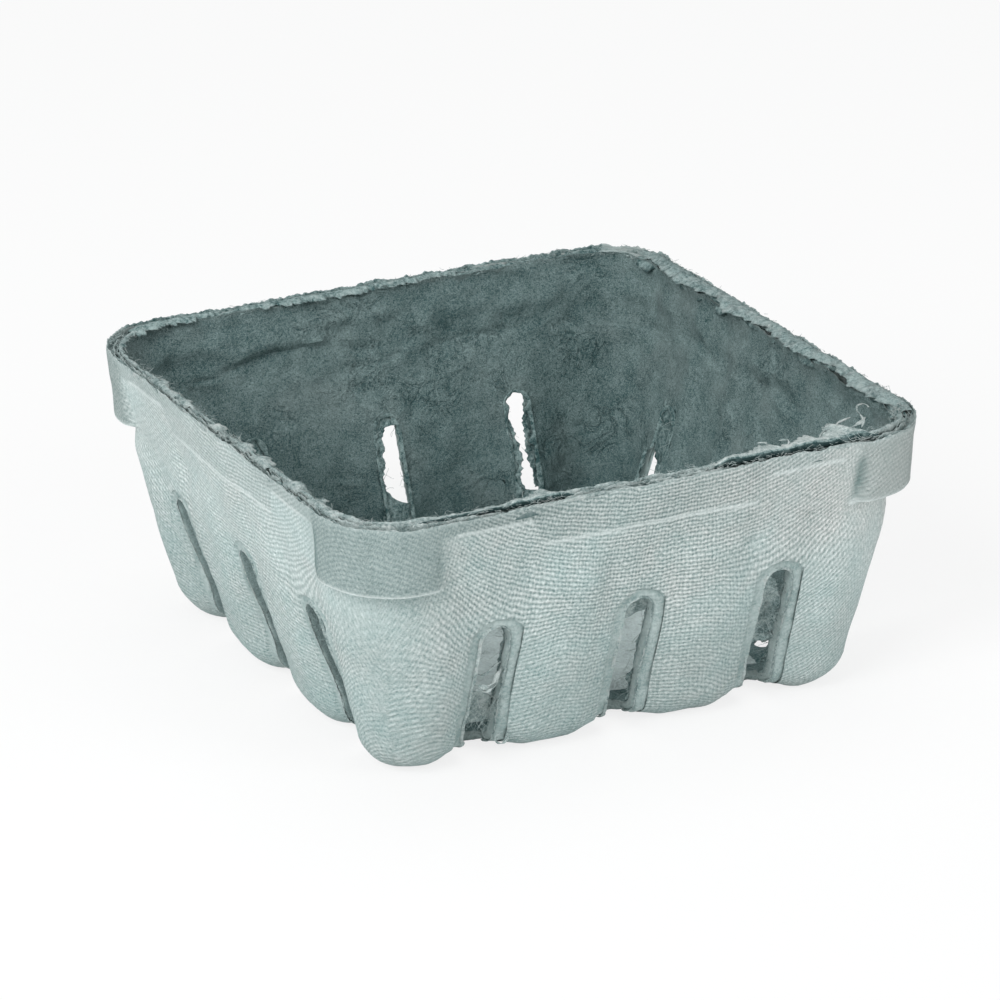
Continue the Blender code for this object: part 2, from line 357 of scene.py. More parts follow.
body = bmesh.from_edit_mesh(wall.data)
for face in body.faces:
    face.select_set(inSlotPatch(face))
body.select_flush_mode()
bmesh.update_edit_mesh(wall.data)
bpy.ops.mesh.dissolve_faces()
for gap in sheet["slotLoops"]:
    bpy.ops.mesh.inset(thickness=.02 * mm, use_individual=True)
    body = bmesh.from_edit_mesh(wall.data)
    layer = body.verts.layers.float
    homeX, homeY, gapLayer = layer["homeAcross"], layer["homeDown"], layer["slotGap"]
    for face in [face for face in body.faces if face.select]:
        ring = set(face.verts)
        for vert in face.verts:
            home = next(edge.other_vert(vert) for edge in vert.link_edges if edge.other_vert(vert) not in ring)
            vert[homeX], vert[homeY] = home[homeX], home[homeY]
            across, down, out = slotOutline(vert[homeX], vert[homeY], gap * mm)
            vert.co = (across, -down, 0)
            vert[gapLayer] = gap * mm
            vert[layer["slotOutX"]], vert[layer["slotOutY"]] = out
    bmesh.update_edit_mesh(wall.data)
bpy.ops.mesh.delete(type='FACE')
bpy.ops.object.mode_set(mode='OBJECT')

flat = places(wall)
attributeOf(wall, "across", flat[:, 0])
attributeOf(wall, "down", -flat[:, 1])
laid, run = layPulp(flat[:, 0], -flat[:, 1], 0, 1)

# The forming screen as it lay on each wall: its rows sag between the corners, its columns spread downwards
screen = {      # slopes of a row by run along the wall in mm, high up and low down
    "leftSlopes": [(-59, .05), (-56, .3), (-52, .6), (-47, .74), (-42, .72), (-38, .64)],
    "highSlopes": [
        (-32, .52), (-26, .42), (-20, .32), (-14, .26), (-8, .2), (-2, .05),
        (4, 0), (10, -.06), (16, -.14), (22, -.26), (28, -.38),
    ],
    "lowSlopes": [
        (-32, .45), (-27, .3), (-23, -.16), (-19, -.1), (-14, .42), (-8, .26), (-2, .1),
        (4, 0), (10, -.16), (14, .06), (18, .2), (22, .26), (26, -.2),
    ],
    "rightSlopes": [(34, -.5), (40, -.62), (46, -.68), (50, -.5), (55, -.1), (59, 0)],
    "end": 59 * mm,
    "seamFrom": 34 * mm,        # from here on the pattern is stretched to end at the corner's seam
    "seamLeast": 12 * mm,
    "blend": [16 * mm, 32 * mm],
    "fan": .12,                 # the rows draw apart towards the corners
    "fanTurn": [4 * mm, 44 * mm],
    "seamFan": .2,              # and more so at a wall's left end, where the columns lean too
    "seamTurn": [40 * mm, 60 * mm],
    "leanFrom": 43 * mm,
    "leanWidth": 16 * mm,
    "lean": .3,
    "leanBack": .15,
    "spread": 5.5,
    "spreadFrom": 20 * mm,
}


def sagOfRows(part, bentRun):       # how far a row hangs below the wall's middle
    marks = np.array(screen["leftSlopes"] + screen[part] + screen["rightSlopes"])
    fine = np.linspace(-screen["end"], screen["end"], 473)
    slopes = np.interp(fine, marks[:, 0] * mm, marks[:, 1])
    sag = np.concatenate([[0], np.cumsum(np.diff(fine) * (slopes[1:] + slopes[:-1]) / 2)])
    return np.interp(bentRun, fine, sag - np.interp(0, fine, sag))


def screenOnWall(across, down, run):
    seamAcross = np.where(across < 0, -1, 1) * (basket["evenHalf"] + sheet["reach"])
    seam = np.abs(layPulp(seamAcross, down, 0, 1)[1])
    start = screen["seamFrom"]
    stretch = (screen["end"] - start) / np.maximum(seam - start, screen["seamLeast"])
    bentRun = np.minimum(np.abs(run), start) + np.clip(np.abs(run) - start, 0, None) * stretch
    bentRun = np.sign(run) * bentRun
    lower = smoothStep(down, *screen["blend"])
    sag = mixed(sagOfRows("highSlopes", bentRun), sagOfRows("lowSlopes", bentRun), lower)
    below = down - screen["spreadFrom"]
    lean = np.clip((-bentRun - screen["leanFrom"]) / screen["leanWidth"], 0, 1)
    columnRun = run * (1 - screen["spread"] * below)
    columnRun += screen["lean"] * lean * below - screen["leanBack"] * screen["leanWidth"] * lean ** 2
    fanned = 1 - screen["fan"] * smoothStep(np.abs(run), *screen["fanTurn"])
    fanned -= screen["seamFan"] * smoothStep(-bentRun, *screen["seamTurn"])
    return columnRun, down * fanned - sag


layPattern(wall, *screenOnWall(flat[:, 0], -flat[:, 1], run))
moveTo(wall, laid)
print("wall sheet:", len(wall.data.vertices), "points,", len(wall.data.polygons), "faces")

# Four walls round the basket
attributeOf(wall, "quarter", np.zeros(len(laid)))
editPiece(wall, 'SELECT')
for turn in range(3):
    bpy.ops.mesh.duplicate()
    bpy.ops.transform.rotate(value=math.pi / 2, orient_axis='Z', center_override=(0, 0, 0))
    body = bmesh.from_edit_mesh(wall.data)
    quarterLayer = body.verts.layers.float["quarter"]
    for vert in body.verts:
        if vert.select:
            vert[quarterLayer] = turn + 1
    bmesh.update_edit_mesh(wall.data)
bpy.ops.object.mode_set(mode='OBJECT')

# The floor is a grid whose border meets the last ring of the walls
inner = columns[np.abs(columns) <= basket["evenHalf"] + 1e-7]
floorPanel, column, row = addGrid("floorPanel", len(inner), len(inner))
x, y = inner[column], inner[len(inner) - 1 - row]
moveTo(floorPanel, np.stack([x, y, footHeight(x, y)], 1))
attributeOf(floorPanel, "across", x)
attributeOf(floorPanel, "down", np.full(len(x), -1.0))      # marks the floor
attributeOf(floorPanel, "slotGap", np.full(len(x), basket["slotMouth"]))
attributeOf(floorPanel, "quarter", np.zeros(len(x)))
layPattern(floorPanel, x, y)
floorPanel.data.flip_normals()
selectOnly(floorPanel, wall)
bpy.ops.object.join()
weld(wall, .02 * mm)
print("basket skin:", len(wall.data.vertices), "points,", len(wall.data.polygons), "faces")

# Thickness, then three cuts along each slot's side and five along the top of the rim
outerCount = len(wall.data.vertices)
thicken(wall, basket["pulp"], -1)
attributeOf(wall, "skin", np.arange(len(wall.data.vertices)) >= outerCount)
editPiece(wall)
bpy.ops.mesh.select_mode(type='EDGE')
for cuts, onRim in ((5, True), (3, False)):
    bpy.ops.mesh.select_all(action='DESELECT')
    body = bmesh.from_edit_mesh(wall.data)
    downLayer, skinLayer = body.verts.layers.float["down"], body.verts.layers.float["skin"]
    for edge in body.edges:
        a, b = edge.verts
        crosses = abs(a[skinLayer] - b[skinLayer]) > .9
        atRim = abs(a[downLayer]) < 1e-6 and abs(b[downLayer]) < 1e-6
        edge.select_set(crosses and atRim == onRim)
    bmesh.update_edit_mesh(wall.data)
    bpy.ops.mesh.subdivide(number_cuts=cuts)
bpy.ops.object.mode_set(mode='OBJECT')
print("basket with its thickness:", len(wall.data.vertices), "points,", len(wall.data.polygons), "faces")


def ripple(points, size, seed=0):       # even noise, about -1 to 1, with bumps of the given size
    shift = Vector((seed * 17.3, seed * 5.1, seed * 9.7))
    values = [noise.noise(Vector(point) / size + shift) for point in points.reshape(-1, 3)]
    return np.array(values).reshape(points.shape[:-1])


def ripples(points, *layers):       # several on top of each other: size in mm, seed, height
    return sum(high * ripple(points, size * mm, seed) for size, seed, high in layers)


def layBasket(across, down, quarter, skin, flatPlace):
    # the smooth basket: a share of 0 is its outer face and 1 its inner face
    inset = basket["pulp"] * skin
    side = np.mod(quarter * quarterTurn, 4)
    short = ((side == 0) & (across > 0)) | ((side == 1) & (across < 0))
    lugHeight = np.where(short, basket["lugShort"], basket["lugHeight"])
    laid, _ = layPulp(across, down, inset, mixed(1, basket["lugHollow"], skin), lugHeight)
    turn = quarterTurn * quarter * math.pi / 2
    x = laid[:, 0] * np.cos(turn) - laid[:, 1] * np.sin(turn)
    y = laid[:, 0] * np.sin(turn) + laid[:, 1] * np.cos(turn)
    onFloor = (down < -.5)[:, None]
    flatX, flatY = flatPlace[:, 0], flatPlace[:, 1]
    flatLaid = np.stack([flatX, flatY, footHeight(flatX, flatY) + inset], 1)
    return np.where(onFloor, flatLaid, np.stack([x, y, laid[:, 2]], 1))


across, down, skin = (readAttribute(wall, name) for name in ("across", "down", "skin"))
quarter, gap = np.rint(readAttribute(wall, "quarter")), readAttribute(wall, "slotGap")
outX, outY = readAttribute(wall, "slotOutX"), readAttribute(wall, "slotOutY")
flatPlace = places(wall)
misfit = {}
for quarterTurn in (1, -1):         # the turn that the copies took
    misfit[quarterTurn] = np.abs(layBasket(across, down, quarter, skin, flatPlace) - flatPlace).mean()
quarterTurn = min(misfit, key=misfit.get)
wallNumber = np.mod(quarter * quarterTurn, 4)       # front, right, back, left
print("copies were turned by", quarterTurn, "misfit in mm", round(misfit[quarterTurn] * 1000, 3))

rimPlace = layBasket(across, down * 0, quarter, skin * 0, flatPlace)
place = layBasket(across, down, quarter, skin, flatPlace)
onFloor = down < -.5
rimFade = np.where(onFloor, 0, np.exp(-(np.clip(down, 0, 1) / (2.4 * mm)) ** 2))


def along(spots, low, high, side, blend=4):
    # 1 on one stretch of a wall, given in mm from its middle; sides are front, right, back, left
    frontal = side in ("front", "back")
    value, other = (spots[:, 0], spots[:, 1]) if frontal else (spots[:, 1], spots[:, 0])
    sign = -1 if side in ("front", "left") else 1
    begun = smoothStep(value, (low - blend) * mm, low * mm)
    ended = smoothStep(value, high * mm, (high + blend) * mm)
    return begun * (1 - ended) * (other * sign > 55 * mm)


# Torn slot edges: the pulp reaches a little way into each slot, more on its felt side
raggedEdge = {
    "layers": [(3.1, 3, .36), (1.05, 4, .15)],
    "outerShare": .35,
    "least": -.3 * mm,
    "out": -.3 * mm,
    "felt": -.12 * mm,
    "width": 1.5 * mm,
    "tornWidth": 3.6 * mm,
    "tornRough": (1.6, 19, .35),
}
ragged = ripples(place, *raggedEdge["layers"]) * mm * mixed(raggedEdge["outerShare"], 1, skin)
ragged = np.clip(ragged, raggedEdge["least"], 1) + mixed(raggedEdge["out"], raggedEdge["felt"], skin)
ragged *= 1 - smoothStep(gap, 0, raggedEdge["width"])
slotCuts = [        # wall, slot, its side, depths of the stretch, how far the edge is torn back in mm
    (1, 1, 1, 38, 46, 2.9), (2, -1, 1, 44, 47, .7), (0, -1, -1, 49, 54, .5),
]


def cutBack(side, slot, edge, down):        # how far a slot's edge is torn back at places down its wall
    depth = down * 0
    for cutSide, cutSlot, cutEdge, low, high, deep in slotCuts:
        begun = smoothStep(down, (low - 2) * mm, low * mm)
        ended = smoothStep(down, high * mm, (high + 2) * mm)
        here = (side == cutSide) & (slot == cutSlot) & (edge * cutEdge > .5)
        depth = depth + begun * (1 - ended) * deep * mm * here
    return depth


slotOf = np.rint(across / basket["slotPitch"])
torn = cutBack(wallNumber, slotOf, outX, down)
tornShare = 1 - smoothStep(gap, 0, raggedEdge["tornWidth"])
ragged -= torn * tornShare * (1 + ripples(place, raggedEdge["tornRough"]))
across = across - ragged * outX
down = np.where(onFloor, down, down - ragged * outY)

# The rim's height wanders, by itself on each face of the pulp
rimWave = {
    "layers": [(11, 5, .5, 3), (4.2, 6, .38, 4), (1.5, 7, .22, 2)],     # size, seed, height, shift through the pulp
    "most": 1 * mm,
}


def waveOfRim(spots, skin):
    through = np.asarray(skin)[..., None]
    wave = sum(
        ripple(spots + through * shift * mm, size * mm, seed) * (high * mm)
        for size, seed, high, shift in rimWave["layers"]
    )
    return np.clip(wave, -rimWave["most"], rimWave["most"])


wave = waveOfRim(rimPlace, skin)
down = np.where(onFloor, down, down - wave * rimFade)
place = layBasket(across, down, quarter, skin, flatPlace)
outerPlace = layBasket(across, down, quarter, skin * 0, flatPlace)
innerPlace = layBasket(across, down, quarter, skin * 0 + 1, flatPlace)
outward = outerPlace - innerPlace
outward /= np.linalg.norm(outward, axis=1)[:, None]
level = outward * [1, 1, 0]
level /= np.maximum(np.linalg.norm(level, axis=1), 1e-9)[:, None]
depth = basket["height"] - place[:, 2]
pillar = 1 - (1 + np.cos(2 * math.pi * across / basket["slotPitch"])) / 2
pillar = np.where(np.abs(across) < basket["slotPitch"] * 1.5, pillar, 1) * ~onFloor
wallOnly = np.where(onFloor | (down > edgeEnd), 0, 1)
outerShare = 1 - skin

# Outer face: pillars bulge, the slots have a sunken border with a rolled edge
border = {
    "gaps": [0, .4, .95, 1.45, 1.9, 2.4, 2.85, 3.16, 3.42, 3.6],
    "leftDepths": [.2, .34, .46, .5, .5, .5, .52, .54, .36, 0],         # nearly flat, with a thin raised lip
    "rightDepths": [.8, .4, .12, .02, .04, .16, .34, .46, .36, 0],      # a rolled edge and a narrow groove
    "width": 3.6 * mm,
    "wander": [(1.3, 41, .2), (3.4, 43, .34)],
    "rough": [(1.7, 44, .2), (.8, 45, .14)],
}
outerFace = {
    "puff": 1.05 * mm,
    "puffAcross": [.3, .95],
    "puffTop": [14.5 * mm, 20.5 * mm],
    "puffFoot": [38 * mm, 50 * mm],
    "puffLess": .75,
    "dentShare": 1.3,
    "lumps": [(12, 8, .62), (5, 9, .2), (2.2, 10, .07)],
    "lumpsUnder": .35,
}
dents = [       # wall, place across, depth below the rim, half sizes across and down, how deep, all in mm
    (0, -7.5, 18.5, 2.6, 4.5, .75), (0, 22.8, 16.2, 2.8, 3.4, .8), (0, -24, 13, 3.4, 3, .4),
    (0, 8, 13.5, 5, 3, .4), (0, -40, 24, 5, 6, .5), (0, 41, 27, 4, 8, .45), (0, 16, 33, 4, 9, -.3),
    (0, -14, 31, 4, 9, -.3), (3, -23, 17, 2.6, 4.5, .8), (3, 7.5, 17, 2.6, 5, .8), (3, 24, 16, 2.6, 4, .6),
    (3, 38, 30, 4, 8, .5), (0, 23.4, 17.8, 1.5, .8, .5), (0, 20.8, 19.2, 1.2, .8, .4),
    (0, 35.6, 14.4, 1.2, .9, .4), (0, -27, 17, 3, 2, .4), (1, -22, 17, 3, 4, .7), (1, 9, 16, 3, 5, .6),
    (1, 39, 20, 4, 6, .5), (2, -8, 17, 3, 4, .7), (2, 23, 18, 3, 5, .7),
]
borderGap = gap + ripples(place, *border["wander"]) * mm * (gap > .2 * mm)
borderGaps = np.array(border["gaps"]) * mm
rightOfSlot = smoothStep(outX, -.6, .6)
sunken = mixed(
    np.interp(borderGap, borderGaps, np.array(border["leftDepths"]) * mm),
    np.interp(borderGap, borderGaps, np.array(border["rightDepths"]) * mm),
    rightOfSlot,
)
sunken += ripples(place, *border["rough"]) * mm * (gap < 3.4 * mm) * (gap > .3 * mm)
puff = smoothStep(pillar, *outerFace["puffAcross"]) * smoothStep(depth, *outerFace["puffTop"])
puff *= 1 - outerFace["puffLess"] * smoothStep(depth, *outerFace["puffFoot"])
puff *= outerFace["puff"] * wallOnly * np.clip((gap - 3 * mm) / (3 * mm), 0, 1)
puff = puff - sum(
    np.exp(-((across / mm - x) / wide) ** 2 - ((depth / mm - y) / tall) ** 2)
    * (wallNumber == side) * deep * outerFace["dentShare"] * mm
    for side, x, y, wide, tall, deep in dents
) * wallOnly
lump = ripples(place, *outerFace["lumps"]) * mm * np.where(down > edgeEnd, outerFace["lumpsUnder"], 1)
shape = place + outward * ((puff + lump - sunken) * outerShare)[:, None]

# Inner face: felt-like, lumpy, with folds under the rim
feltFace = {
    "lumps": [(14, 12, .5), (6, 13, .32), (2.8, 14, .26), (1.5, 15, .14)],
    "fold": .6 * mm,
    "foldFoot": [8 * mm, 22 * mm],
    "crease": .55 * mm,
    "creaseTurn": [-.05, .3],
    "wander": [1.4, 1.2],       # how far the named folds stray across and down, in mm
    "uneven": (6, 48, .6),
}
fold = 1 - np.abs(ripple(place * [1, 1, 2.2], 13 * mm, 11)) * 2
fold = smoothStep(fold, .1, 1)
upper = 1 - smoothStep(depth, *feltFace["foldFoot"])
crease = np.clip(1 - np.abs(ripple(place, 7 * mm, 16)) * 9, 0, 1)
crease = crease * smoothStep(ripple(place, 16 * mm, 17), *feltFace["creaseTurn"])
feltLump = ripples(place, *feltFace["lumps"]) * mm
feltLump = feltLump + fold * feltFace["fold"] * upper * wallOnly - crease * feltFace["crease"] * wallOnly


def awayFromRoute(x, y, route):     # distance to a line through points, all in mm
    nearest = np.full(len(x), 1e9)
    for (ax, ay), (bx, by) in zip(route, route[1:]):
        length = math.hypot(bx - ax, by - ay)
        share = np.clip(((x - ax) * (bx - ax) + (y - ay) * (by - ay)) / length ** 2, 0, 1)
        nearest = np.minimum(nearest, np.hypot(x - ax - share * (bx - ax), y - ay - share * (by - ay)))
    return nearest


felts = [       # wall, route across and down, half width, how far it stands into the basket, all in mm
    (2, [(52, 6.4), (35, 5.2), (20, 5.8), (-2, 4.6)], 2.8, 1.1),
    (2, [(47, 8), (44, 12), (39, 17)], 2.6, -1.1),
    (2, [(40, 13.4), (30, 10), (25, 9.2), (10, 10.6), (2, 12.6)], .8, -.9),
    (2, [(38, 11.4), (30, 8.2), (24, 7.6), (12, 9)], 1.6, .7),
    (2, [(11, 16.2), (1, 15.6)], .55, -.6),
    (2, [(-8, 8), (-20, 6.6), (-36, 8.4), (-48, 7)], 2.4, 1),
    (2, [(-12, 14), (-22, 13), (-34, 15)], 1, -.6),
    (2, [(16, 20), (14, 34)], 3, .5),
    (2, [(-16, 19), (-14, 36)], 3, .5),
    (2, [(6, 20), (4, 25)], .5, -.5),
    (1, [(26, 17), (24, 40)], 2.6, .9),
    (1, [(10, 13), (9, 40)], 2.6, .9),
    (1, [(-10, 14), (-9, 36)], 2.6, .8),
    (1, [(52, 8), (30, 6), (10, 8.4), (-12, 6)], 2.6, .9),
    (1, [(34, 12), (26, 11), (18, 12.6)], .8, -.7),
    (1, [(4, 11.6), (-6, 10.4), (-18, 12)], .8, -.6),
    (1, [(18, 20), (17, 28)], .7, -.6),
]
strayAcross = across / mm + ripple(place, 4 * mm, 46) * feltFace["wander"][0]
strayDown = depth / mm + ripple(place, 4 * mm, 47) * feltFace["wander"][1]
uneven = 1 + ripples(place, feltFace["uneven"])
for side, route, wide, high in felts:
    away = awayFromRoute(strayAcross, strayDown, route)
    feltLump += (wallNumber == side) * np.exp(-(away / wide) ** 2) * high * mm * wallOnly * uneven
shape = shape - outward * (feltLump * smoothStep(skin, .5, 1))[:, None]

# Rim: a lip that leans in and tears, rounded outside, split where its two layers part
rim = {
    "lean": .35,
    "leanLayers": [(8, 21, .5), (2.7, 22, .5), (1.15, 23, .3)],
    "leftLean": .5,
    "rightLean": 1.5,           # the right wall's rim is a thick roll
    "leanRange": [-.1, 2.4],
    "leanFade": [.75, 1.9],
    "split": 1.2,
    "splitRough": (4, 24, .7),
    "trench": 1.1,
    "round": .28 * mm,
    "roundDown": .12 * mm,
    "roundFade": .4 * mm,
}


def trenchOf(spots):        # the stretches where the layers of the rim part furthest
    front = np.maximum(along(spots, 18, 47, "front"), along(spots, -30, -20, "front", 2))
    return np.maximum(front, .8 * along(spots, -57, -22, "back"))


rightRoll = along(rimPlace, -52, 54, "right")
belowRim = np.clip(down + wave, 0, 1)
lean = rim["lean"] + ripples(rimPlace, *rim["leanLayers"])
lean += rim["leftLean"] * along(rimPlace, -45, 30, "left") + rim["rightLean"] * rightRoll
lean = np.clip(lean, rim["leanRange"][0], rim["leanRange"][1] + rightRoll) * mm
lipFade = np.where(onFloor, 0, np.exp(-belowRim / (mixed(*rim["leanFade"], rightRoll) * mm)))
shape = shape - level * (lean * lipFade * smoothStep(skin, 0, 1) * skin)[:, None]
atRim = (readAttribute(wall, "down") < 1e-6) & ~onFloor
trench = trenchOf(rimPlace)
recess = smoothStep(skin, .02, .16) * (1 - smoothStep(skin, .84, .99)) * mm * atRim
recess *= rim["split"] + ripples(rimPlace, rim["splitRough"]) + rim["trench"] * trench
backRim = along(rimPlace, -60, 60, "back")
# the rim's split is painted dark: painted shade in the split, stronger along the trenches and on the back rim
attributeOf(wall, "creviceShade", np.clip(recess / (1.3 * mm) * (.35 + trench + .5 * backRim), 0, 1))
shape[:, 2] -= recess
rounding = np.exp(-belowRim / rim["roundFade"]) * outerShare * ~onFloor
shape = shape - level * (rounding * rim["round"])[:, None]
shape[:, 2] -= rounding * rim["roundDown"]

# Slot sides swell a little into the slot
onSlotSide = (gap < .05 * mm) & ~atRim
swelling = np.sin(np.pi * np.clip(skin, 0, 1)) * onSlotSide
turn = quarterTurn * quarter * math.pi / 2
shape[:, 0] -= swelling * outX * np.cos(turn) * .12 * mm
shape[:, 1] -= swelling * outX * np.sin(turn) * .12 * mm
shape[:, 2] = np.maximum(shape[:, 2], 0)
moveTo(wall, shape)
print("basket shaped:", [round(v * 1000, 1) for v in shape.min(0)], [round(v * 1000, 1) for v in shape.max(0)])

# What the material needs to know of each point
seenInside = np.where((wallNumber == 1) | (wallNumber == 2), 1, 0) * ~atRim
# the left wall's slot sides get the dark felt colour and little torn colour: painted shade on these reveals
shadedLeftReveal = (wallNumber == 3) * onSlotSide
felt = mixed(smoothStep(skin, .55, .98), smoothStep(skin, .08, .4), seenInside)
attributeOf(wall, "felt", np.maximum(felt, shadedLeftReveal * .9 * smoothStep(skin, .1, .3)))
softSide = mixed(2.3, 3.25, rightOfSlot) * mm
band = (1 - smoothStep(borderGap, softSide, border["width"])) * (.85 + ripples(place, (2.2, 42, .3)))
attributeOf(wall, "band", band)
# painted shade in the narrow groove by each slot's rolled edge, stronger on the slot's right
grooveShade = np.interp(borderGap, np.array([1.9, 2.6, 3.1, 3.42, 3.6]) * mm, [0, .7, 1, .8, 0])
attributeOf(wall, "grooveShade", grooveShade * mixed(.1, .45, rightOfSlot) * outerShare)
beside = np.minimum(np.abs(place[:, 0]), np.abs(place[:, 1]))
onLug = smoothStep(beside, 44 * mm, 45.4 * mm) * (1 - smoothStep(depth, 14 * mm, 14.6 * mm)) * ~onFloor
attributeOf(wall, "onLug", onLug)
# lugEnd marks where painted shade lies beside the end of each right-hand lug
lugEnd = np.exp(-((beside / mm - 45.2 - ripples(place, (2, 49, .5))) / 1.1) ** 2)
lugEnd *= smoothStep(depth, 2 * mm, 5 * mm) * (1 - smoothStep(depth, 11.6 * mm, 14.5 * mm))
attributeOf(wall, "lugEnd", lugEnd * outerShare * (across > 0) * ~onFloor)
lugBase = np.where((wallNumber == 0) & (across > 0), basket["lugShort"], basket["lugHeight"])
lugFoot = np.exp(-((depth - lugBase - .45 * mm) / (.6 * mm)) ** 2) * smoothStep(beside, 43 * mm, 45 * mm)
attributeOf(wall, "lugFoot", lugFoot * outerShare * ~onFloor)
fromEdge = 47.5 * mm - np.maximum(np.abs(place[:, 0]), np.abs(place[:, 1])) + ripples(place, (5, 50, 1.5)) * mm
# the floor's felt, where it shows through the slots, is painted lighter: painted light falling on the floor
attributeOf(wall, "onFloor", onFloor * smoothStep(skin, .5, 1) * smoothStep(fromEdge, 0, 5 * mm))
tornEdge = (1 - .75 * np.maximum(seenInside, shadedLeftReveal)) * smoothStep(skin, .02, .2)
tornEdge *= 1 - smoothStep(skin, .75, 1)
torn = np.maximum(tornEdge, np.exp(-belowRim / (.5 * mm)) * ~onFloor)
# the torn rim is less pale on the back wall: painted shade
attributeOf(wall, "torn", torn * (1 - .55 * backRim))
attributeOf(wall, "depthDown", depth / basket["height"])
selectOnly(wall)
bpy.ops.object.shade_smooth_by_angle(angle=math.radians(50))


class Strand:
    # one socket of a material, with sums written as Python
    tree = None

    def __init__(self, socket):
        self.socket = socket

    @classmethod
    def node(cls, kind, settings=None, sockets=None, out=0):
        node = cls.tree.nodes.new(kind)
        for name, value in (settings or {}).items():
            setattr(node, name, value)
        for name, value in (sockets or {}).items():
            if isinstance(value, Strand):
                cls.tree.links.new(value.socket, node.inputs[name])
            else:
                node.inputs[name].default_value = value
        return cls(node.outputs[out] if len(node.outputs) else None)

    def besides(self, out):     # another output of the node that this one comes from
        return Strand(self.socket.node.outputs[out])

    def sum(self, operation, other=None, flipped=False):
        pair = (other, self) if flipped else (self, other)
        sockets = {index: item for index, item in enumerate(pair) if item is not None}
        return Strand.node("ShaderNodeMath", {"operation": operation}, sockets)

    def __add__(self, other):
        return self.sum('ADD', other)

    def __radd__(self, other):
        return self.sum('ADD', other)

    def __sub__(self, other):
        return self.sum('SUBTRACT', other)

    def __rsub__(self, other):
        return self.sum('SUBTRACT', other, True)

    def __mul__(self, other):
        return self.sum('MULTIPLY', other)

    def __rmul__(self, other):
        return self.sum('MULTIPLY', other)

    def held(self):
        return Strand.node("ShaderNodeClamp", None, {0: self})

    def between(self, low, high):
        sockets = {0: self, 1: low, 2: high, 3: 0, 4: 1}
        return Strand.node("ShaderNodeMapRange", {"interpolation_type": 'SMOOTHSTEP'}, sockets)


def blendColours(share, *colours):      # each a strand or the name of a colour in pulpFinish
    first, second = (pulpFinish[colour] if isinstance(colour, str) else colour for colour in colours)
    return Strand.node("ShaderNodeMix", {"data_type": 'RGBA'}, {0: share, 6: first, 7: second}, 2)


def speckle(where, scale, detail=3, rough=.55, bend=0):
    sockets = {"Vector": where, "Scale": scale, "Detail": detail, "Roughness": rough, "Distortion": bend}
    return Strand.node("ShaderNodeTexNoise", None, sockets)


def fromPiece(name):
    return Strand.node("ShaderNodeAttribute", {"attribute_name": name}, None, 2)


pulpFinish = {
    "rowPitch": .90 * mm,
    "columnPitch": .80 * mm,
    "hollow": (.155, .25, .245, 1),
    "knot": (.69, .785, .775, 1),
    "warmHollow": (.215, .26, .25, 1),
    "warmKnot": (.72, .735, .72, 1),
    "greyHollow": (.13, .19, .185, 1),
    "greyKnot": (.48, .545, .535, 1),
    "lugEndShade": (.14, .21, .205, 1),
    "band": (.47, .55, .54, 1),
    "bandDark": (.21, .30, .295, 1),
    "grooveShade": (.20, .285, .28, 1),
    "witness": (.72, .79, .78, 1),
    "feltDark": (.036, .085, .087, 1),
    "feltPale": (.295, .39, .385, 1),
    "feltWarm": (.22, .25, .245, 1),
    "paintedFloorLight": (.78, .9, .895, 1),
    "tornPale": (.55, .62, .61, 1),
    "tornDark": (.20, .27, .265, 1),
    "tornWarm": (.40, .425, .415, 1),
    "creviceShade": (.018, .042, .043, 1),
    "rough": .93,
    "lineMiddle": 9.3 * mm,         # depth of the mould's witness line between the lugs, and beside them
    "lineSide": 3.55 * mm,
    "lineTurn": [23.5 * mm, 28.5 * mm],
    "lineEnd": [44.5 * mm, 46.5 * mm],
    "slant": [38 * mm, 50 * mm],    # where the print turns aslant towards a corner
    "bump": .9,
    "pulpRelief": .2 * mm,
    "tornRelief": .15 * mm,
    "shine": .25,
}


def startNodes(holder):     # of a material or the world
    holder.use_nodes = True
    holder.node_tree.nodes.clear()
    Strand.tree = holder.node_tree
    return holder


def matt(colour, height, distance):
    bumps = {"Strength": pulpFinish["bump"], "Distance": distance, "Height": height}
    sockets = {
        "Base Color": colour,
        "Roughness": pulpFinish["rough"],
        "Specular IOR Level": pulpFinish["shine"],
        "Normal": Strand.node("ShaderNodeBump", None, bumps),
    }
    Strand.node("ShaderNodeOutputMaterial", None, {0: Strand.node("ShaderNodeBsdfPrincipled", None, sockets)})


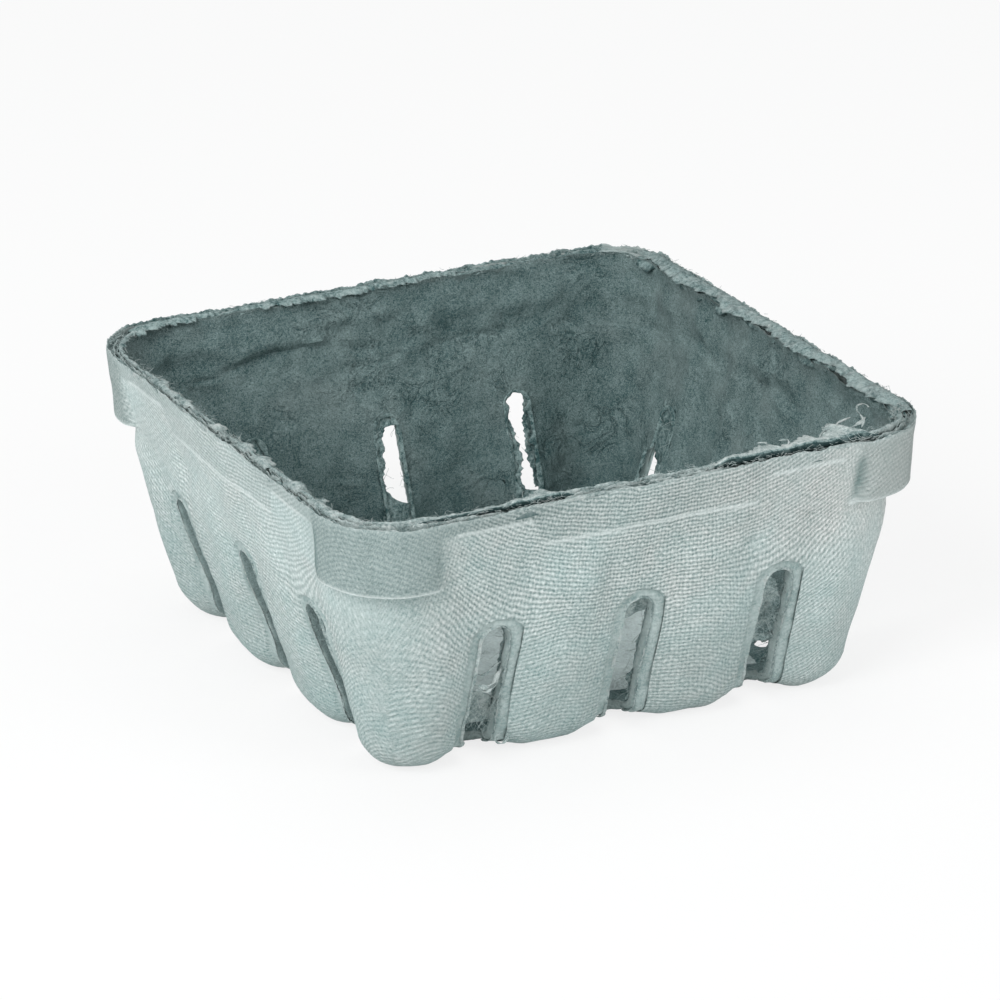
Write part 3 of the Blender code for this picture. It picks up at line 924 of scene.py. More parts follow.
def pulpMaterial():
    material = startNodes(bpy.data.materials.new("mouldedPulp"))
    place = Strand.node("ShaderNodeTexCoord", None, None, 3)
    felt, band, torn, grooveShade = (fromPiece(name) for name in ("felt", "band", "torn", "grooveShade"))
    onLug, onFloor, low = (fromPiece(name) for name in ("onLug", "onFloor", "depthDown"))
    wide = speckle(place, 55, 2)
    medium = speckle(place, 230, 4)
    grain = speckle(place, 1500, 3, .6)
    hair = speckle(place, 4200, 2, .6)
    # the wire screen's plain weave: rows, fainter columns, and knots that take turns from row to row
    pattern = Strand.node("ShaderNodeUVMap", {"uv_map": "screenPattern"})
    columnRun = Strand.node("ShaderNodeSeparateXYZ", None, {0: pattern})
    rowRun = columnRun.besides(1)
    wall = fromPiece("quarter") * 7
    down = fromPiece("down")
    dashPlace = Strand.node("ShaderNodeCombineXYZ", None, {0: columnRun * 1100, 1: rowRun * 1300, 2: wall})
    wobblePlace = Strand.node("ShaderNodeCombineXYZ", None, {0: columnRun * 620, 1: rowRun * 420, 2: wall + 3})
    dash = speckle(dashPlace, 1, 1, .5).between(.25, .75)
    wobble = (speckle(wobblePlace, 1, 2, .6) - .5) * (.8 * mm)
    sway = (speckle(place, 130, 2) - .5) * (1.1 * mm) + (speckle(place, 34, 1) - .5) * (2.2 * mm)
    swayAcross = (speckle(place, 150, 2, .5, .4) - .5) * (1.5 * mm)
    column = ((columnRun + swayAcross) * (math.pi / pulpFinish["columnPitch"])).sum('COSINE')
    row = ((rowRun + sway + wobble) * (math.pi / pulpFinish["rowPitch"])).sum('COSINE')
    side = columnRun.sum('ABSOLUTE')
    # towards the corners the print is weaker and its rows no stronger than its columns
    aslant = side.between(*pulpFinish["slant"]) * (1 - onLug * .8)
    screen = (row * row - .5) * (2.2 - aslant * 1.3) + (column * column - .5) * (dash * 1.1 + .45 + aslant * .2)
    screen = screen + row * column * (dash * .8 + .25)
    faint = (medium * .9 + wide * .7 - .35).between(.1, .7) * .5 + .62
    # greyer pulp on the lugs and along the rim, and the mould's witness line
    atBend = side.between(*pulpFinish["lineTurn"])
    lineDepth = atBend * (pulpFinish["lineSide"] - pulpFinish["lineMiddle"])
    lineDepth = lineDepth + pulpFinish["lineMiddle"]
    lineAway = down + sway * .4 - lineDepth
    lineOn = (1 - side.between(*pulpFinish["lineEnd"])) * (1 - felt) * (wide + medium * .6 - .1).between(.3, .65)
    lineOn = lineOn * (1 - side.between(23.5 * mm, 25 * mm) * (1 - side.between(27 * mm, 28.5 * mm)))
    line = (1 - lineAway.sum('ABSOLUTE').between(.1 * mm, .8 * mm)) * lineOn
    topBand = (1 - (down + sway * .4).between(2.8 * mm, 4.4 * mm)) * (side.between(16 * mm, 28 * mm) * .6 + .35)
    underLine = 1 - lineAway.between(-.5 * mm, .5 * mm)
    greyed = topBand.sum('MAXIMUM', onLug).sum('MAXIMUM', underLine * .35)
    shown = (1 - felt) * (1 - band) * (1 - torn)
    placeAcross = Strand.node("ShaderNodeSeparateXYZ", None, {0: place})
    leftPart = 1 - placeAcross.between(-50 * mm, -10 * mm)
    faint = faint * (1 - low.between(.3, .75) * .34) * (1 - onLug * .3)
    faint = faint * (1 - leftPart * .2) * (1 - aslant * .3)
    spread = screen * faint * .26
    screenShare = (spread + .5 + (grain - .5) * .9 + (hair - .5) * 1.25 + (medium - .5) * .38).held()
    # the print's hollows are painted dark and its knots light, here and in the warm and grey copies: the print's own
    # pattern plus painted shade in its hollows
    screenColour = blendColours(screenShare, "hollow", "knot")
    warmColour = blendColours(screenShare, "warmHollow", "warmKnot")
    upRight = placeAcross.between(-10 * mm, 50 * mm) * (1 - low.between(.15, .6)) * .75
    warm = ((wide - .5) * 1.3 + (medium - .5) * .8 + .25 + upRight).held()
    screenColour = blendColours(warm, screenColour, warmColour)
    greyColour = blendColours(screenShare, "greyHollow", "greyKnot")
    screenColour = blendColours(greyed * (1 - upRight), screenColour, greyColour)
    # the right part of the basket is painted lighter: painted light
    screenColour = blendColours(placeAcross.between(5 * mm, 60 * mm) * .2, screenColour, "knot")
    # painted shade beside the lug ends
    lugShade = fromPiece("lugEnd") * (grain * .9 + medium * .8 + .1)
    screenColour = blendColours(lugShade.held(), screenColour, "lugEndShade")
    # the upper left wall is painted lighter: painted light from the left
    leftWallLight = (1 - placeAcross.between(-56 * mm, -48 * mm)) * (1 - low.between(.3, .55)) * (1 - onLug)
    screenColour = blendColours(leftWallLight * .2, screenColour, "knot")
    rightLug = onLug * placeAcross.between(30 * mm, 50 * mm)
    screenColour = blendColours(rightLug * .4, screenColour, "warmHollow")
    # darker near the front-left corner, and painted shade towards the foot of each wall
    nearCorner = (1 - (placeAcross + placeAcross.besides(1)).between(-108 * mm, -98 * mm)) * .2
    screenColour = blendColours(nearCorner + low.between(.4, .9) * .2, screenColour, "hollow")
    screenColour = blendColours(line * (grain * .7 + .2), screenColour, "witness")
    screenColour = blendColours((fromPiece("lugFoot") * (grain + .9)).held(), screenColour, "witness")
    bandMix = ((grain - .5) * 2.3 + (medium - .5) * 2.2 + (hair - .5) * 1.6 + .44).held()
    bandColour = blendColours(bandMix, "band", "bandDark")
    # felt: fine hairs over soft patches
    turned = Strand.node("ShaderNodeMapping", None, {"Vector": place, "Scale": (1, 1, 2.2)})
    nap = speckle(turned, 2300, 3, .65, 1.6)
    mottle = (wide - .5) * .55 + (medium - .5) * .75 + (grain - .5) * .9 + (nap - .5) * 1.3 + (hair - .5) * 1.7 + .44
    # fine cracks darken the felt's colour: painted shade in its creases, which the bump also carries
    cracks = (speckle(place, 170, 4, .6, 1.4) - .5).sum('ABSOLUTE')
    cracks = (1 - cracks.between(.004, .03)) * speckle(place, 75, 2).between(.48, .62)
    feltColour = blendColours((mottle - cracks * .2).held(), "feltDark", "feltPale")
    feltColour = blendColours(speckle(place, 60, 2).between(.5, .75) * .22, feltColour, "feltWarm")
    # darker towards the bottom
    feltColour = blendColours(low.between(.45, 1) * .3, feltColour, "feltDark")
    # painted light on the floor
    floorLightShare = onFloor * (grain * .5 + medium * .5 + wide * .3 + .02).held()
    feltColour = blendColours(floorLightShare, feltColour, "paintedFloorLight")
    tornColour = blendColours((grain * 1.3 + hair * .6 - .55).held(), "tornDark", "tornPale")
    # painted shade in the rim's split
    tornColour = blendColours(fromPiece("creviceShade"), tornColour, "feltDark")
    colour = blendColours(band, screenColour, bandColour)
    # painted shade in the slot border's groove
    colour = blendColours(grooveShade * (grain * .5 + .55), colour, "grooveShade")
    colour = blendColours(felt, colour, feltColour)
    colour = blendColours((torn * .8).held(), colour, tornColour)
    screenHeight = screen * shown * faint * .42 + line * .5 + grain * .85 + hair * .5 + band * (grain + medium) * .9
    wrinkle = (speckle(place, 300, 3, .6, .8) - .5).sum('ABSOLUTE')
    feltHeight = medium * 2.2 + grain * 1.7 + nap * 1.1 + hair * 1.2 - wrinkle * 3.2 - cracks * 1.2
    matt(colour, screenHeight * (1 - felt) + feltHeight * felt, pulpFinish["pulpRelief"])
    return material


def tornMaterial():
    # loose shreds and fibres; the attribute "pale" goes from felt-dark to freshly torn, and is lowered where shade
    # is painted
    material = startNodes(bpy.data.materials.new("tornPulp"))
    place = Strand.node("ShaderNodeTexCoord", None, None, 3)
    pale = fromPiece("pale")
    grain = speckle(place, 1300, 3, .6)
    hair = speckle(place, 3900, 2, .6)
    patch = speckle(place, 260, 3)
    noiseMix = (grain - .5) * 2.4 + (patch - .5) * 1.5 + (hair - .5) * 1.5
    lightSide = blendColours((noiseMix + .55).held(), "tornDark", "tornPale")
    placeAcross = Strand.node("ShaderNodeSeparateXYZ", None, {0: place})
    rightSide, backSide = (spot.between(50 * mm, 58 * mm) for spot in (placeAcross, placeAcross.besides(1)))
    warm = patch.between(.5, .72) * .5 + rightSide * (patch * .5 + .3)
    lightSide = blendColours(warm, lightSide, "tornWarm")
    # duller towards the right and back rims; on the back this is painted shade
    dull = (rightSide + backSide).held() * patch.between(.35, .6) * .5
    lightSide = blendColours(dull, lightSide, "feltPale")
    darkSide = blendColours((noiseMix + .48).held(), "feltDark", "feltPale")
    colour = blendColours(pale.held(), darkSide, lightSide)
    # below a paleness of about -.4 a shred turns near black: painted shade in cracks and under flaps
    colour = blendColours((pale * -1.6 - .65).held(), colour, "creviceShade")
    matt(colour, grain * 1.6 + patch * 1.4 + hair * .8, pulpFinish["tornRelief"])
    return material


pulp, tornPulp = pulpMaterial(), tornMaterial()
wall.data.materials.clear()
wall.data.materials.append(pulp)
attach(wall, "root")
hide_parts("moulded_basket")
print("basket finished in moulded pulp")


# Torn strips: thin sheets of pulp laid in the same terms as the wall, given as grids of points
cornerEnd = basket["evenHalf"] + sheet["reach"]
walls = {"front": 0, "right": 1, "back": 2, "left": 3}      # quarter turns, seen from above


def layStrip(across, down, turns, skin):        # grids or single values, stretched to one shape
    across, down, turns, skin = np.broadcast_arrays(across, down, turns, skin)
    laid = layBasket(
        across.ravel(), down.ravel(), quarterTurn * turns.ravel(), skin.ravel(), np.zeros((across.size, 3))
    )
    return laid.reshape(across.shape + (3,))


strips = {"mottle": [(2.3, 61, .3), (.8, 62, .26)], "weld": .004 * mm, "highest": 58.45 * mm}


def makeStrip(name, spots, thickness, pale, closed=False):
    strip, column, row = addGrid(name, *spots.shape[:2])
    laid = spots[column, row]
    moveTo(strip, laid)
    paleness = np.broadcast_to(pale, spots.shape[:2])[column, row] + ripples(laid, *strips["mottle"])
    attributeOf(strip, "pale", paleness)
    weld(strip, strips["weld"] if closed else 0)
    thicken(strip, thickness, 0)
    bpy.ops.object.shade_smooth()
    return strip


def finishTorn(pieces, name):
    selectOnly(*pieces[1:], pieces[0])
    if len(pieces) > 1:
        bpy.ops.object.join()
    joined = bpy.context.view_layer.objects.active
    joined.name = name
    joined.data.materials.clear()
    joined.data.materials.append(tornPulp)
    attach(joined, "root")
    print(name, len(joined.data.polygons), "faces")


def bands(value, stops, column=1):      # read off a short table of places in mm and what holds there
    return np.interp(value, [stop[0] * mm for stop in stops], [stop[column] for stop in stops])


def upright(values):        # one value for each place along a strip
    return values[:, None]


def sharesOf(count, start=0):       # even shares across a strip
    return np.linspace(start, 1, count)[None, :]


# The torn rim: four thin leaves and an inner roll that run right round it
rimShreds = {
    "step": .31 * mm,
    "leafRows": 5,
    "innerRows": 8,
    "most": 1.45 * mm,
    "leaves": [(.1, .12, .9), (.3, -.1, .3), (.55, .05, .75), (.8, 0, .4)],     # place in the pulp, rise in mm, paleness
    "leafThickness": .13 * mm,
    "innerThickness": .19 * mm,
}
ringCount = int(2 * cornerEnd / rimShreds["step"])
ringAcross = np.concatenate([np.linspace(-cornerEnd, cornerEnd, ringCount, endpoint=False)] * 4 + [[-cornerEnd]])
ringTurns = np.concatenate([np.repeat(np.arange(4.0), ringCount), [4.0]])
ringSpots = layStrip(ringAcross, 0, ringTurns, 0)
ringSpots[-1] = ringSpots[0]
backShade = np.where(ringSpots[:, 1] > 62 * mm, 1, 0)
rightShade = np.where(ringSpots[:, 0] > 62 * mm, 1, 0)
leftShade = np.where(ringSpots[:, 0] < -62 * mm, 1, 0)
ringTrench = trenchOf(ringSpots)
ringAcross, ringTurns = upright(ringAcross), upright(ringTurns)

facing = ringSpots[:, :2] ** 5      # which way the wall faces, against the photograph's view
facing = facing @ np.array([-.45, -.89]) / np.maximum(np.linalg.norm(facing, axis=1), 1e-30)
facing = np.clip(facing * 1.4, -1, 1)
share = sharesOf(rimShreds["leafRows"])
leaves = []
for number, (leafSkin, rise, pale) in enumerate(rimShreds["leaves"]):
    seed = 31 + number * 5
    top = rise + (leafSkin - .5) * .8 * facing
    top += ripples(ringSpots, (3.3, seed, .3), (1.2, seed + 1, .28), (.55, seed + 2, .3))
    start, lowest, drift, bend = 1 * mm, -.6, 0, .07
    if number:      # an inner leaf is torn away here and there, and all along the trenches
        top -= 1.5 * smoothStep(ripple(ringSpots, 5.5 * mm, seed + 7), .02, .3) + 1.6 * ringTrench
        start, lowest, bend = 2.4 * mm, -2.2, .22
        drift = upright(ripples(ringSpots, (5.5, seed + 3, .26), (1.4, seed + 4, .1)))
    leafDown = mixed(start, -upright(np.clip(top, lowest, 1.1)) * mm, share)
    leafDown = np.maximum(leafDown - upright(waveOfRim(ringSpots, leafSkin)), -rimShreds["most"])
    skinHere = leafSkin + drift + upright(bend * ripple(ringSpots, 2.4 * mm, seed + 2)) * share ** 2
    # each leaf is painted paler towards its top edge and darker lower down: painted shade between the leaves, and
    # painted shade on the back, right and left rims
    shaded = upright(pale - .95 * backShade - .6 * rightShade - .1 * leftShade)
    laid = layStrip(ringAcross, leafDown, ringTurns, skinHere)
    leaves.append(makeStrip("leaf", laid, rimShreds["leafThickness"], shaded + share * .25 - .1, True))

share = sharesOf(rimShreds["innerRows"])
width = .6 + ripples(ringSpots, (6, 34, .8), (2.6, 35, .8))
width += ripples(ringSpots, (.8, 36, .6), (.5, 37, .4)) * (1 - .8 * rightShade)
width += rightShade * (.7 + ripples(ringSpots, (7, 40, 1.5)))
width *= 1 - .8 * backShade - .4 * leftShade
width = upright(np.clip(width, .1, 2.8)) * mm
lifted = .25 + ripples(ringSpots, (5, 38, .45)) + .35 * facing - .5 * backShade
lifted = upright(np.clip(lifted, -.4, .9)) * mm
rolled = upright(rightShade)
innerDown = -upright(waveOfRim(ringSpots, 1)) - lifted * np.sin(np.minimum(share * 1.4, 1) * math.pi / 2)
innerDown += (width * (.45 + .4 * rolled) + .3 * mm) * share ** 3
innerDown += upright(ripple(ringSpots, 1.1 * mm, 39)) * share * .3 * mm
innerDown[:, 0] += .5 * mm
innerDown = np.maximum(innerDown, -rimShreds["most"])
innerSkin = mixed(.92, 1 + width / basket["pulp"], share)
# the roll is painted darker towards its inner edge, most on the right: painted shade under the roll, and painted
# shade on the back, right and left rims
shaded = upright(.75 - .95 * backShade - .65 * rightShade - .15 * leftShade) - share * (.3 + .5 * rolled)
laid = layStrip(ringAcross, innerDown, ringTurns, innerSkin)
innerRim = makeStrip("rimInner", laid, rimShreds["innerThickness"], shaded, True)
finishTorn(leaves + [innerRim], "tornRim")

# Single flaps on the rim: wall, its stretch as places and widths inward, rise in mm, where it starts in the
# pulp, paleness
rimFlaps = [
    ("front", [
        (13, .2), (18, .8), (23, 1.8), (26, 2.4), (29, 1), (31, 1.3), (34, 2.8), (37, 2), (39, 3.2),
        (42, 5.6), (45, 5), (47, 1), (48, .3),
    ], 1.35, .62, 1),
    ("front", [(30, .2), (33, 1.4), (36, 3.4), (38, 1.2), (41, 4.2), (44, 6.4), (46, 3.6), (47, .3)], 1.1, .85, 1),
    ("front", [(-32, .2), (-29, 1.8), (-26, 1), (-23, 2.4), (-20, 1.6), (-17, .2)], .9, .6, .8),
    ("front", [(-48, .2), (-44, 1), (-38, .7), (-33, 1.3), (-30, .2)], .3, .7, .8),
    ("left", [(-32, .2), (-29, 1.4), (-26, .4), (-22, 1.2), (-20, .2)], .5, .5, .6),
    ("left", [(-19, .2), (-17, 1.6), (-14, .3)], .5, .5, .6),
    ("left", [(-4, .2), (-1.5, 1.8), (.6, .3)], .7, .5, .6),
    ("left", [(8, .2), (11, 1.9), (13.5, .3)], .7, .5, .6),
    ("left", [(16, .2), (18, 1.3), (21, 1.5), (23, .3)], .7, .5, .6),
    ("left", [(31, .2), (34, 2), (37, .3)], .6, .5, .6),
    ("left", [(41, .2), (43.5, 2.2), (46, .5), (49, 1.2), (51, .3)], .6, .5, .6),
    ("right", [(-52, .3), (-46, 2.4), (-38, 3), (-30, 1.6), (-22, .3)], .9, .25, .3),
    ("right", [(-27, .3), (-20, 2), (-10, 3.2), (-2, 1.6), (3, .3)], .7, .3, .2),
    ("right", [(-4, .3), (6, 2.2), (14, 3.8), (20, 1.8), (24, .3)], 1, .2, .3),
    ("right", [(18, .3), (27, 2.2), (36, 3.4), (44, 2.2), (52, .3)], .8, .3, .2),
    ("back", [(-20, .3), (-6, 1.2), (10, 1.8), (24, 1.2), (30, .3)], .5, .7, .1),
    ("back", [(34, .3), (42, 1.4), (50, 1.8), (54, .3)], .6, .6, .1),
]
flapShape = {"step": .34 * mm, "rows": 11, "thickness": .13 * mm, "ends": 3 * mm, "frontWider": 1.35}
flaps = []
for number, (side, stretch, rise, begin, pale) in enumerate(rimFlaps):
    low, high = stretch[0][0] * mm, stretch[-1][0] * mm
    runAcross = np.linspace(low, high, int((high - low) / flapShape["step"]))
    spots = layStrip(runAcross, 0, walls[side], 0)
    seed = 50 + number * 3
    front = side == "front"
    width = bands(runAcross, stretch) * (flapShape["frontWider"] if front else 1)
    width *= 1 + ripples(spots, (2.4, seed, .55))
    width += ripples(spots, (.75, seed + 1, 1.4 * (.25 if side == "right" else 1)))
    width = upright(np.clip(width, .15, 7.5)) * mm
    share = sharesOf(flapShape["rows"])
    begun = smoothStep(runAcross, low, low + flapShape["ends"])
    ends = np.minimum(begun, 1 - smoothStep(runAcross, high - flapShape["ends"], high))
    up = upright(rise * mm * ends * (1 + ripples(spots, (3, seed + 2, .5))))
    flapSkin = begin + share ** (1.7 if front else 1) * (1.05 - begin + width / basket["pulp"])
    flapDown = -np.sin(np.minimum(share * 1.6, 1) * math.pi / 2) * up - .25 * mm + .9 * mm * share ** 3
    flapDown += upright(ripple(spots, 1.4 * mm, seed + 1)) * .3 * mm * share
    flapDown[:, 0] += .6 * mm
    flapDown = np.maximum(flapDown, -1.6 * mm)
    laid = layStrip(upright(runAcross), flapDown, walls[side], flapSkin)
    creased = ripples(laid, (1.9, seed, .24), (.8, seed + 1, .16))
    laid[:, :, 2] = np.minimum(laid[:, :, 2] + creased * np.minimum(share * 2, 1) * mm, strips["highest"])
    # the lowest rows of the front flaps are painted near black: painted shade in the crack beneath them
    shaded = smoothStep(share, .24, .36) if front else 1
    paleness = mixed(-.9, pale + share * .1 + creased * .8, shaded)
    flaps.append(makeStrip("flap", laid, flapShape["thickness"], paleness))
finishTorn(flaps, "rimFlaps")

# Thin torn lips round the slots: a pale one on the outer face, a ragged dark one on the felt side
slotShreds = {
    "step": .42 * mm,
    "rows": 5,
    "outerThickness": .16 * mm,
    "feltThickness": .25 * mm,
    "outerPale": [1.05, .6],        # on a slot's left side and its right one
    "feltPale": [.25, -.3],         # on the near walls and the far ones
}


def slotPath(centre, far):
    # down one side, round the arch and back, as places across and down with the way into the slot
    top = (basket["slotTop"] + basket["slotHalf"]) / math.cos(basket["slant"])
    straight = int((far - top) / slotShreds["step"])
    arch = int(math.pi * basket["slotHalf"] / slotShreds["step"])
    rise = np.linspace(far, top, straight, endpoint=False)
    bend = np.linspace(0, math.pi, arch)
    half = basket["slotHalf"]
    across = np.concatenate([np.full(straight, -half), -half * np.cos(bend), np.full(straight, half)])
    down = np.concatenate([rise, top - half * np.sin(bend), rise[::-1]])
    inAcross = np.concatenate([np.full(straight, 1.0), np.cos(bend), np.full(straight, -1.0)])
    inDown = np.concatenate([np.zeros(straight), np.sin(bend), np.zeros(straight)])
    return centre + across, down, inAcross, inDown


lips = []
for turns in range(4):
    farSide = 1 if turns in (1, 2) else 0
    for slot in (-1, 0, 1):
        runAcross, runDown, inAcross, inDown = slotPath(slot * basket["slotPitch"], edgeEnd - 1 * mm)
        runAcross = runAcross - inAcross * cutBack(turns, slot, -inAcross, runDown)
        spots = layStrip(runAcross, runDown, turns, 0)
        share = sharesOf(slotShreds["rows"])
        column, row, inAcross, inDown = (upright(values) for values in (runAcross, runDown, inAcross, inDown))
        # outer lip
        reach = np.clip(-.12 + ripples(spots, (2.2, 81, .2), (.7, 82, .22)), -.3, .35) * mm
        into = mixed(-.7 * mm, upright(reach), share)
        laid = layStrip(column + inAcross * into, row + inDown * into, turns, mixed(.2, .04, share))
        lipPale = np.where(inAcross > .5, *slotShreds["outerPale"])
        lips.append(makeStrip("lip", laid, slotShreds["outerThickness"], lipPale))
        # felt side
        tear = np.clip(ripple(spots, 3.2 * mm, 83) - .2, 0, 1) * (2.2 + 1.5 * farSide)
        reach = .1 + ripples(spots, (2.6, 84, .45), (.9, 85, .28)) + tear + .25 * farSide
        reach = np.clip(reach, -.2, 1.6 + .5 * farSide) * mm
        into = mixed(-.5 * mm, upright(reach), share)
        skin = mixed(1.1, .95, share) + upright(ripple(spots, 1.5 * mm, 86)) * share * .25
        laid = layStrip(column + inAcross * into, row + inDown * into, turns, skin)
        lips.append(makeStrip("lip", laid, slotShreds["feltThickness"], slotShreds["feltPale"][farSide]))
finishTorn(lips, "slotLips")

# Webs and torn pieces in the slots: wall, slot, place in the pulp, paleness, then by run down the wall both edges
slotWebs = [
    ("back", 0, .85, -.1, [
        (26, -3.2, 3.4), (28.9, -3.2, 3.4), (29.4, .9, 3.4), (34.5, 1.3, 3.4), (38, 1.9, 3.4), (40, 2.6, 3.6),
        (42, 2.2, 3.8), (43.5, 1, 3.8), (44.8, -.8, 3.8), (45.6, -3.2, 3.8), (49.5, -3.2, 3.8), (50.2, -.9, 3.8),
        (53, -.6, 3.8), (53.8, -3, 3.8), (56, -3, 3.8),
    ]),
    ("back", -1, .9, -.1, [
        (32, 2.6, 3.2), (35, 1.7, 3.2), (38, .8, 3.2), (41, .7, 3.2), (43, 1.7, 3.2), (45, 2, 3.2), (47, .9, 3.2),
        (47.6, -1.9, 3.2), (50, -1.7, 3.2), (56, -1.5, 3.2),
    ]),
    ("back", -1, .7, 0, [(27, -3.2, -1.8), (32, -3.2, -1.3), (38, -3.2, -.5), (42, -3.2, -.8), (47, -3.2, -1.4)]),
    ("back", 1, .8, -.1, [(26, -3.2, 3.2), (34, -3.2, 3.2), (35, -3.2, 1)]),
    ("right", 1, .95, -.7, [
        (26, -3.2, 3.4), (34, -3.2, 3.4), (35.4, -3.2, 3.6), (36.8, -3.2, 1.4), (38.4, -3.2, -.8), (47, -3.2, -2.2),
    ]),
    ("right", 0, .8, -.3, [(27, -3.2, -1), (32, -3.2, 0), (38, -3.2, 1.6), (42, -3.2, .4), (50, -3.2, -1)]),
    ("front", -1, .8, .75, [
        (42.5, -3, -1.8), (43.4, -3, 1), (45, -3, 2.8), (48, -3, 2.6), (50.2, -3, 2.2), (51, -3, -.5),
    ]),
    ("front", 0, .9, .5, [(26, -3, 3), (30.2, -3, 3), (31.4, -3, .6), (32, -3, -1.2)]),
    ("front", 1, .75, .4, [
        (26.5, -3, -1), (29, -3, -.2), (32, -3, 1.4), (35, -3, 3), (39, -3, 3), (40.6, -3, 2.4), (41.6, -3, -1),
        (43, -3, -1.5), (44, -3, 3), (45, -3, 3),
    ]),
]
webShape = {"step": .3, "columns": 12, "thickness": .14 * mm, "free": 2.8, "narrowest": .15}
webs = []
for number, (side, slot, skin, pale, edges) in enumerate(slotWebs):
    top, bottom = edges[0][0], edges[-1][0]
    runDown = np.linspace(top, bottom, int((bottom - top) / webShape["step"])) * mm
    low, high = bands(runDown, edges), bands(runDown, edges, 2)
    centre = slot * basket["slotPitch"]
    spots = layStrip(centre, runDown, walls[side], skin)
    seed = 120 + number * 4
    # an edge that hangs free is ragged
    low = np.where(low > -webShape["free"], low + ripples(spots, (1.7, seed, .45), (.7, seed + 1, .6)), low)
    high = np.where(high < webShape["free"], high + ripples(spots, (1.5, seed + 2, .45), (.7, seed + 3, .6)), high)
    low = np.minimum(low, high - webShape["narrowest"])
    spread = centre + mixed(upright(low), upright(high), sharesOf(webShape["columns"])) * mm
    laid = layStrip(spread, upright(runDown), walls[side], skin)
    buckle = ripples(laid, (2.6, seed, .16), (1, seed, .12))
    laid = layStrip(spread, upright(runDown), walls[side], skin + buckle)
    webs.append(makeStrip("web", laid, webShape["thickness"], pale + buckle))
finishTorn(webs, "slotWebs")

# Curled torn ribbons: the loop and flap of the first front slot, and the wisp on the front rim
ribbons = [     # width in mm, paleness, twist in turns, route in mm
    (1.1, .9, .6, [
        (-33.2, -52.4, 18.4), (-32.2, -52.9, 17.4), (-30.9, -53.3, 17.2), (-29.6, -53.3, 18.2), (-28.4, -53, 19.8),
        (-27.4, -52.9, 20.6),
    ]),
    (.6, .95, 1.1, [
        (-32.9, -52.4, 16.9), (-31.4, -53, 16.2), (-30, -53.2, 16.6), (-28.8, -53, 17.8), (-28.2, -52.8, 19),
    ]),
    (.45, .8, .8, [
        (-33, -52.8, 20.3), (-31.9, -53, 19.7), (-30.6, -53.2, 20.4), (-29.3, -53.1, 21.6), (-27.8, -53, 21.9),
    ]),
    (.4, .9, 1.4, [
        (-25.6, -50.7, 6.1), (-25, -50.3, 4.4), (-25.8, -50.2, 3.4), (-27, -50.4, 3.5), (-28.1, -50.6, 4.4),
        (-28.3, -50.8, 5.5), (-27.2, -50.8, 5.9),
    ]),
    (.8, 1, .5, [
        (42.2, -59.5, 57.7), (44, -58.6, 58), (46.4, -57.8, 58.1), (48.4, -56.8, 58.2), (50.2, -55.2, 58.3),
    ]),
    (.7, 1, .8, [
        (47.4, -58.6, 57.9), (49.2, -56.4, 58.2), (50.2, -53.4, 58.3), (50.6, -51.2, 58.3), (52, -49, 58.3),
        (53.6, -48.4, 58.3), (54, -49.8, 58.3), (53.6, -50.6, 58.2),
    ]),
    (.5, 1, .8, [
        (42, -59.4, 57.8), (42.8, -57.4, 58.1), (43.6, -55.4, 58.2), (45.6, -54.4, 58.2), (47.6, -54, 58.3),
    ]),
    (.5, .9, .7, [(38.2, -58.6, 57.7), (39.6, -57.2, 58), (41.4, -56.4, 58), (42.6, -56.8, 57.8)]),
    (.5, .9, .9, [(30.2, -60, 57.7), (31.4, -58.6, 58), (31.2, -57.2, 57.8), (29.9, -56.8, 57.6)]),
    (.45, .9, .6, [(25, -60.6, 57.5), (26.6, -58.6, 58), (26.9, -57, 57.9), (25.6, -56.2, 57.7)]),
]
ribbonShape = {"step": .12 * mm, "soften": 40, "columns": 5, "thickness": .12 * mm, "highest": 58.4 * mm}
curls = []
for number, (width, pale, twist, route) in enumerate(ribbons):
    route = np.array(route) * mm
    marks = np.concatenate([[0], np.cumsum(np.linalg.norm(np.diff(route, axis=0), axis=1))])
    spaced = np.arange(0, marks[-1], ribbonShape["step"])
    line = np.stack([np.interp(spaced, marks, route[:, axis]) for axis in range(3)], 1)
    for _ in range(ribbonShape["soften"]):
        line[1:-1] = (line[:-2] + line[1:-1] * 2 + line[2:]) / 4
    tangent = np.gradient(line, axis=0)
    tangent /= np.linalg.norm(tangent, axis=1)[:, None]
    first = np.cross(tangent, (.3, -.5, .8))
    first /= np.linalg.norm(first, axis=1)[:, None]
    second = np.cross(tangent, first)
    angle = (np.linspace(0, twist, len(line)) + .15 * number) * 2 * math.pi
    sideways = first * upright(np.cos(angle)) + second * upright(np.sin(angle))
    half = width / 2 * mm * (.35 + .65 * np.sin(np.linspace(.25, 2.95, len(line))))
    half = half * (1 + ripples(line, (.9, 200 + number, .5)))
    share = sharesOf(ribbonShape["columns"], -1)[:, :, None]
    spots = line[:, None] + sideways[:, None] * share * half[:, None, None]
    spots[:, :, 2] = np.minimum(spots[:, :, 2], ribbonShape["highest"])
    curls.append(makeStrip("curl", spots, ribbonShape["thickness"], pale))
finishTorn(curls, "tornRibbons")

# Fibres: short hairs at the rim and in the slots, and the strands that the photograph shows
fibre = {
    "seed": 7,
    "thin": .035 * mm,
    "thick": .065 * mm,
    "step": .4 * mm,
    "sway": .16,
    "lowest": .1 * mm,
    "highest": 58.4 * mm,
    "weld": .0004 * mm,
    "paleFrom": 52 * mm,
    "pale": [.6, .95],      # below and above that height
}
chance = random.Random(fibre["seed"])
hairs = []


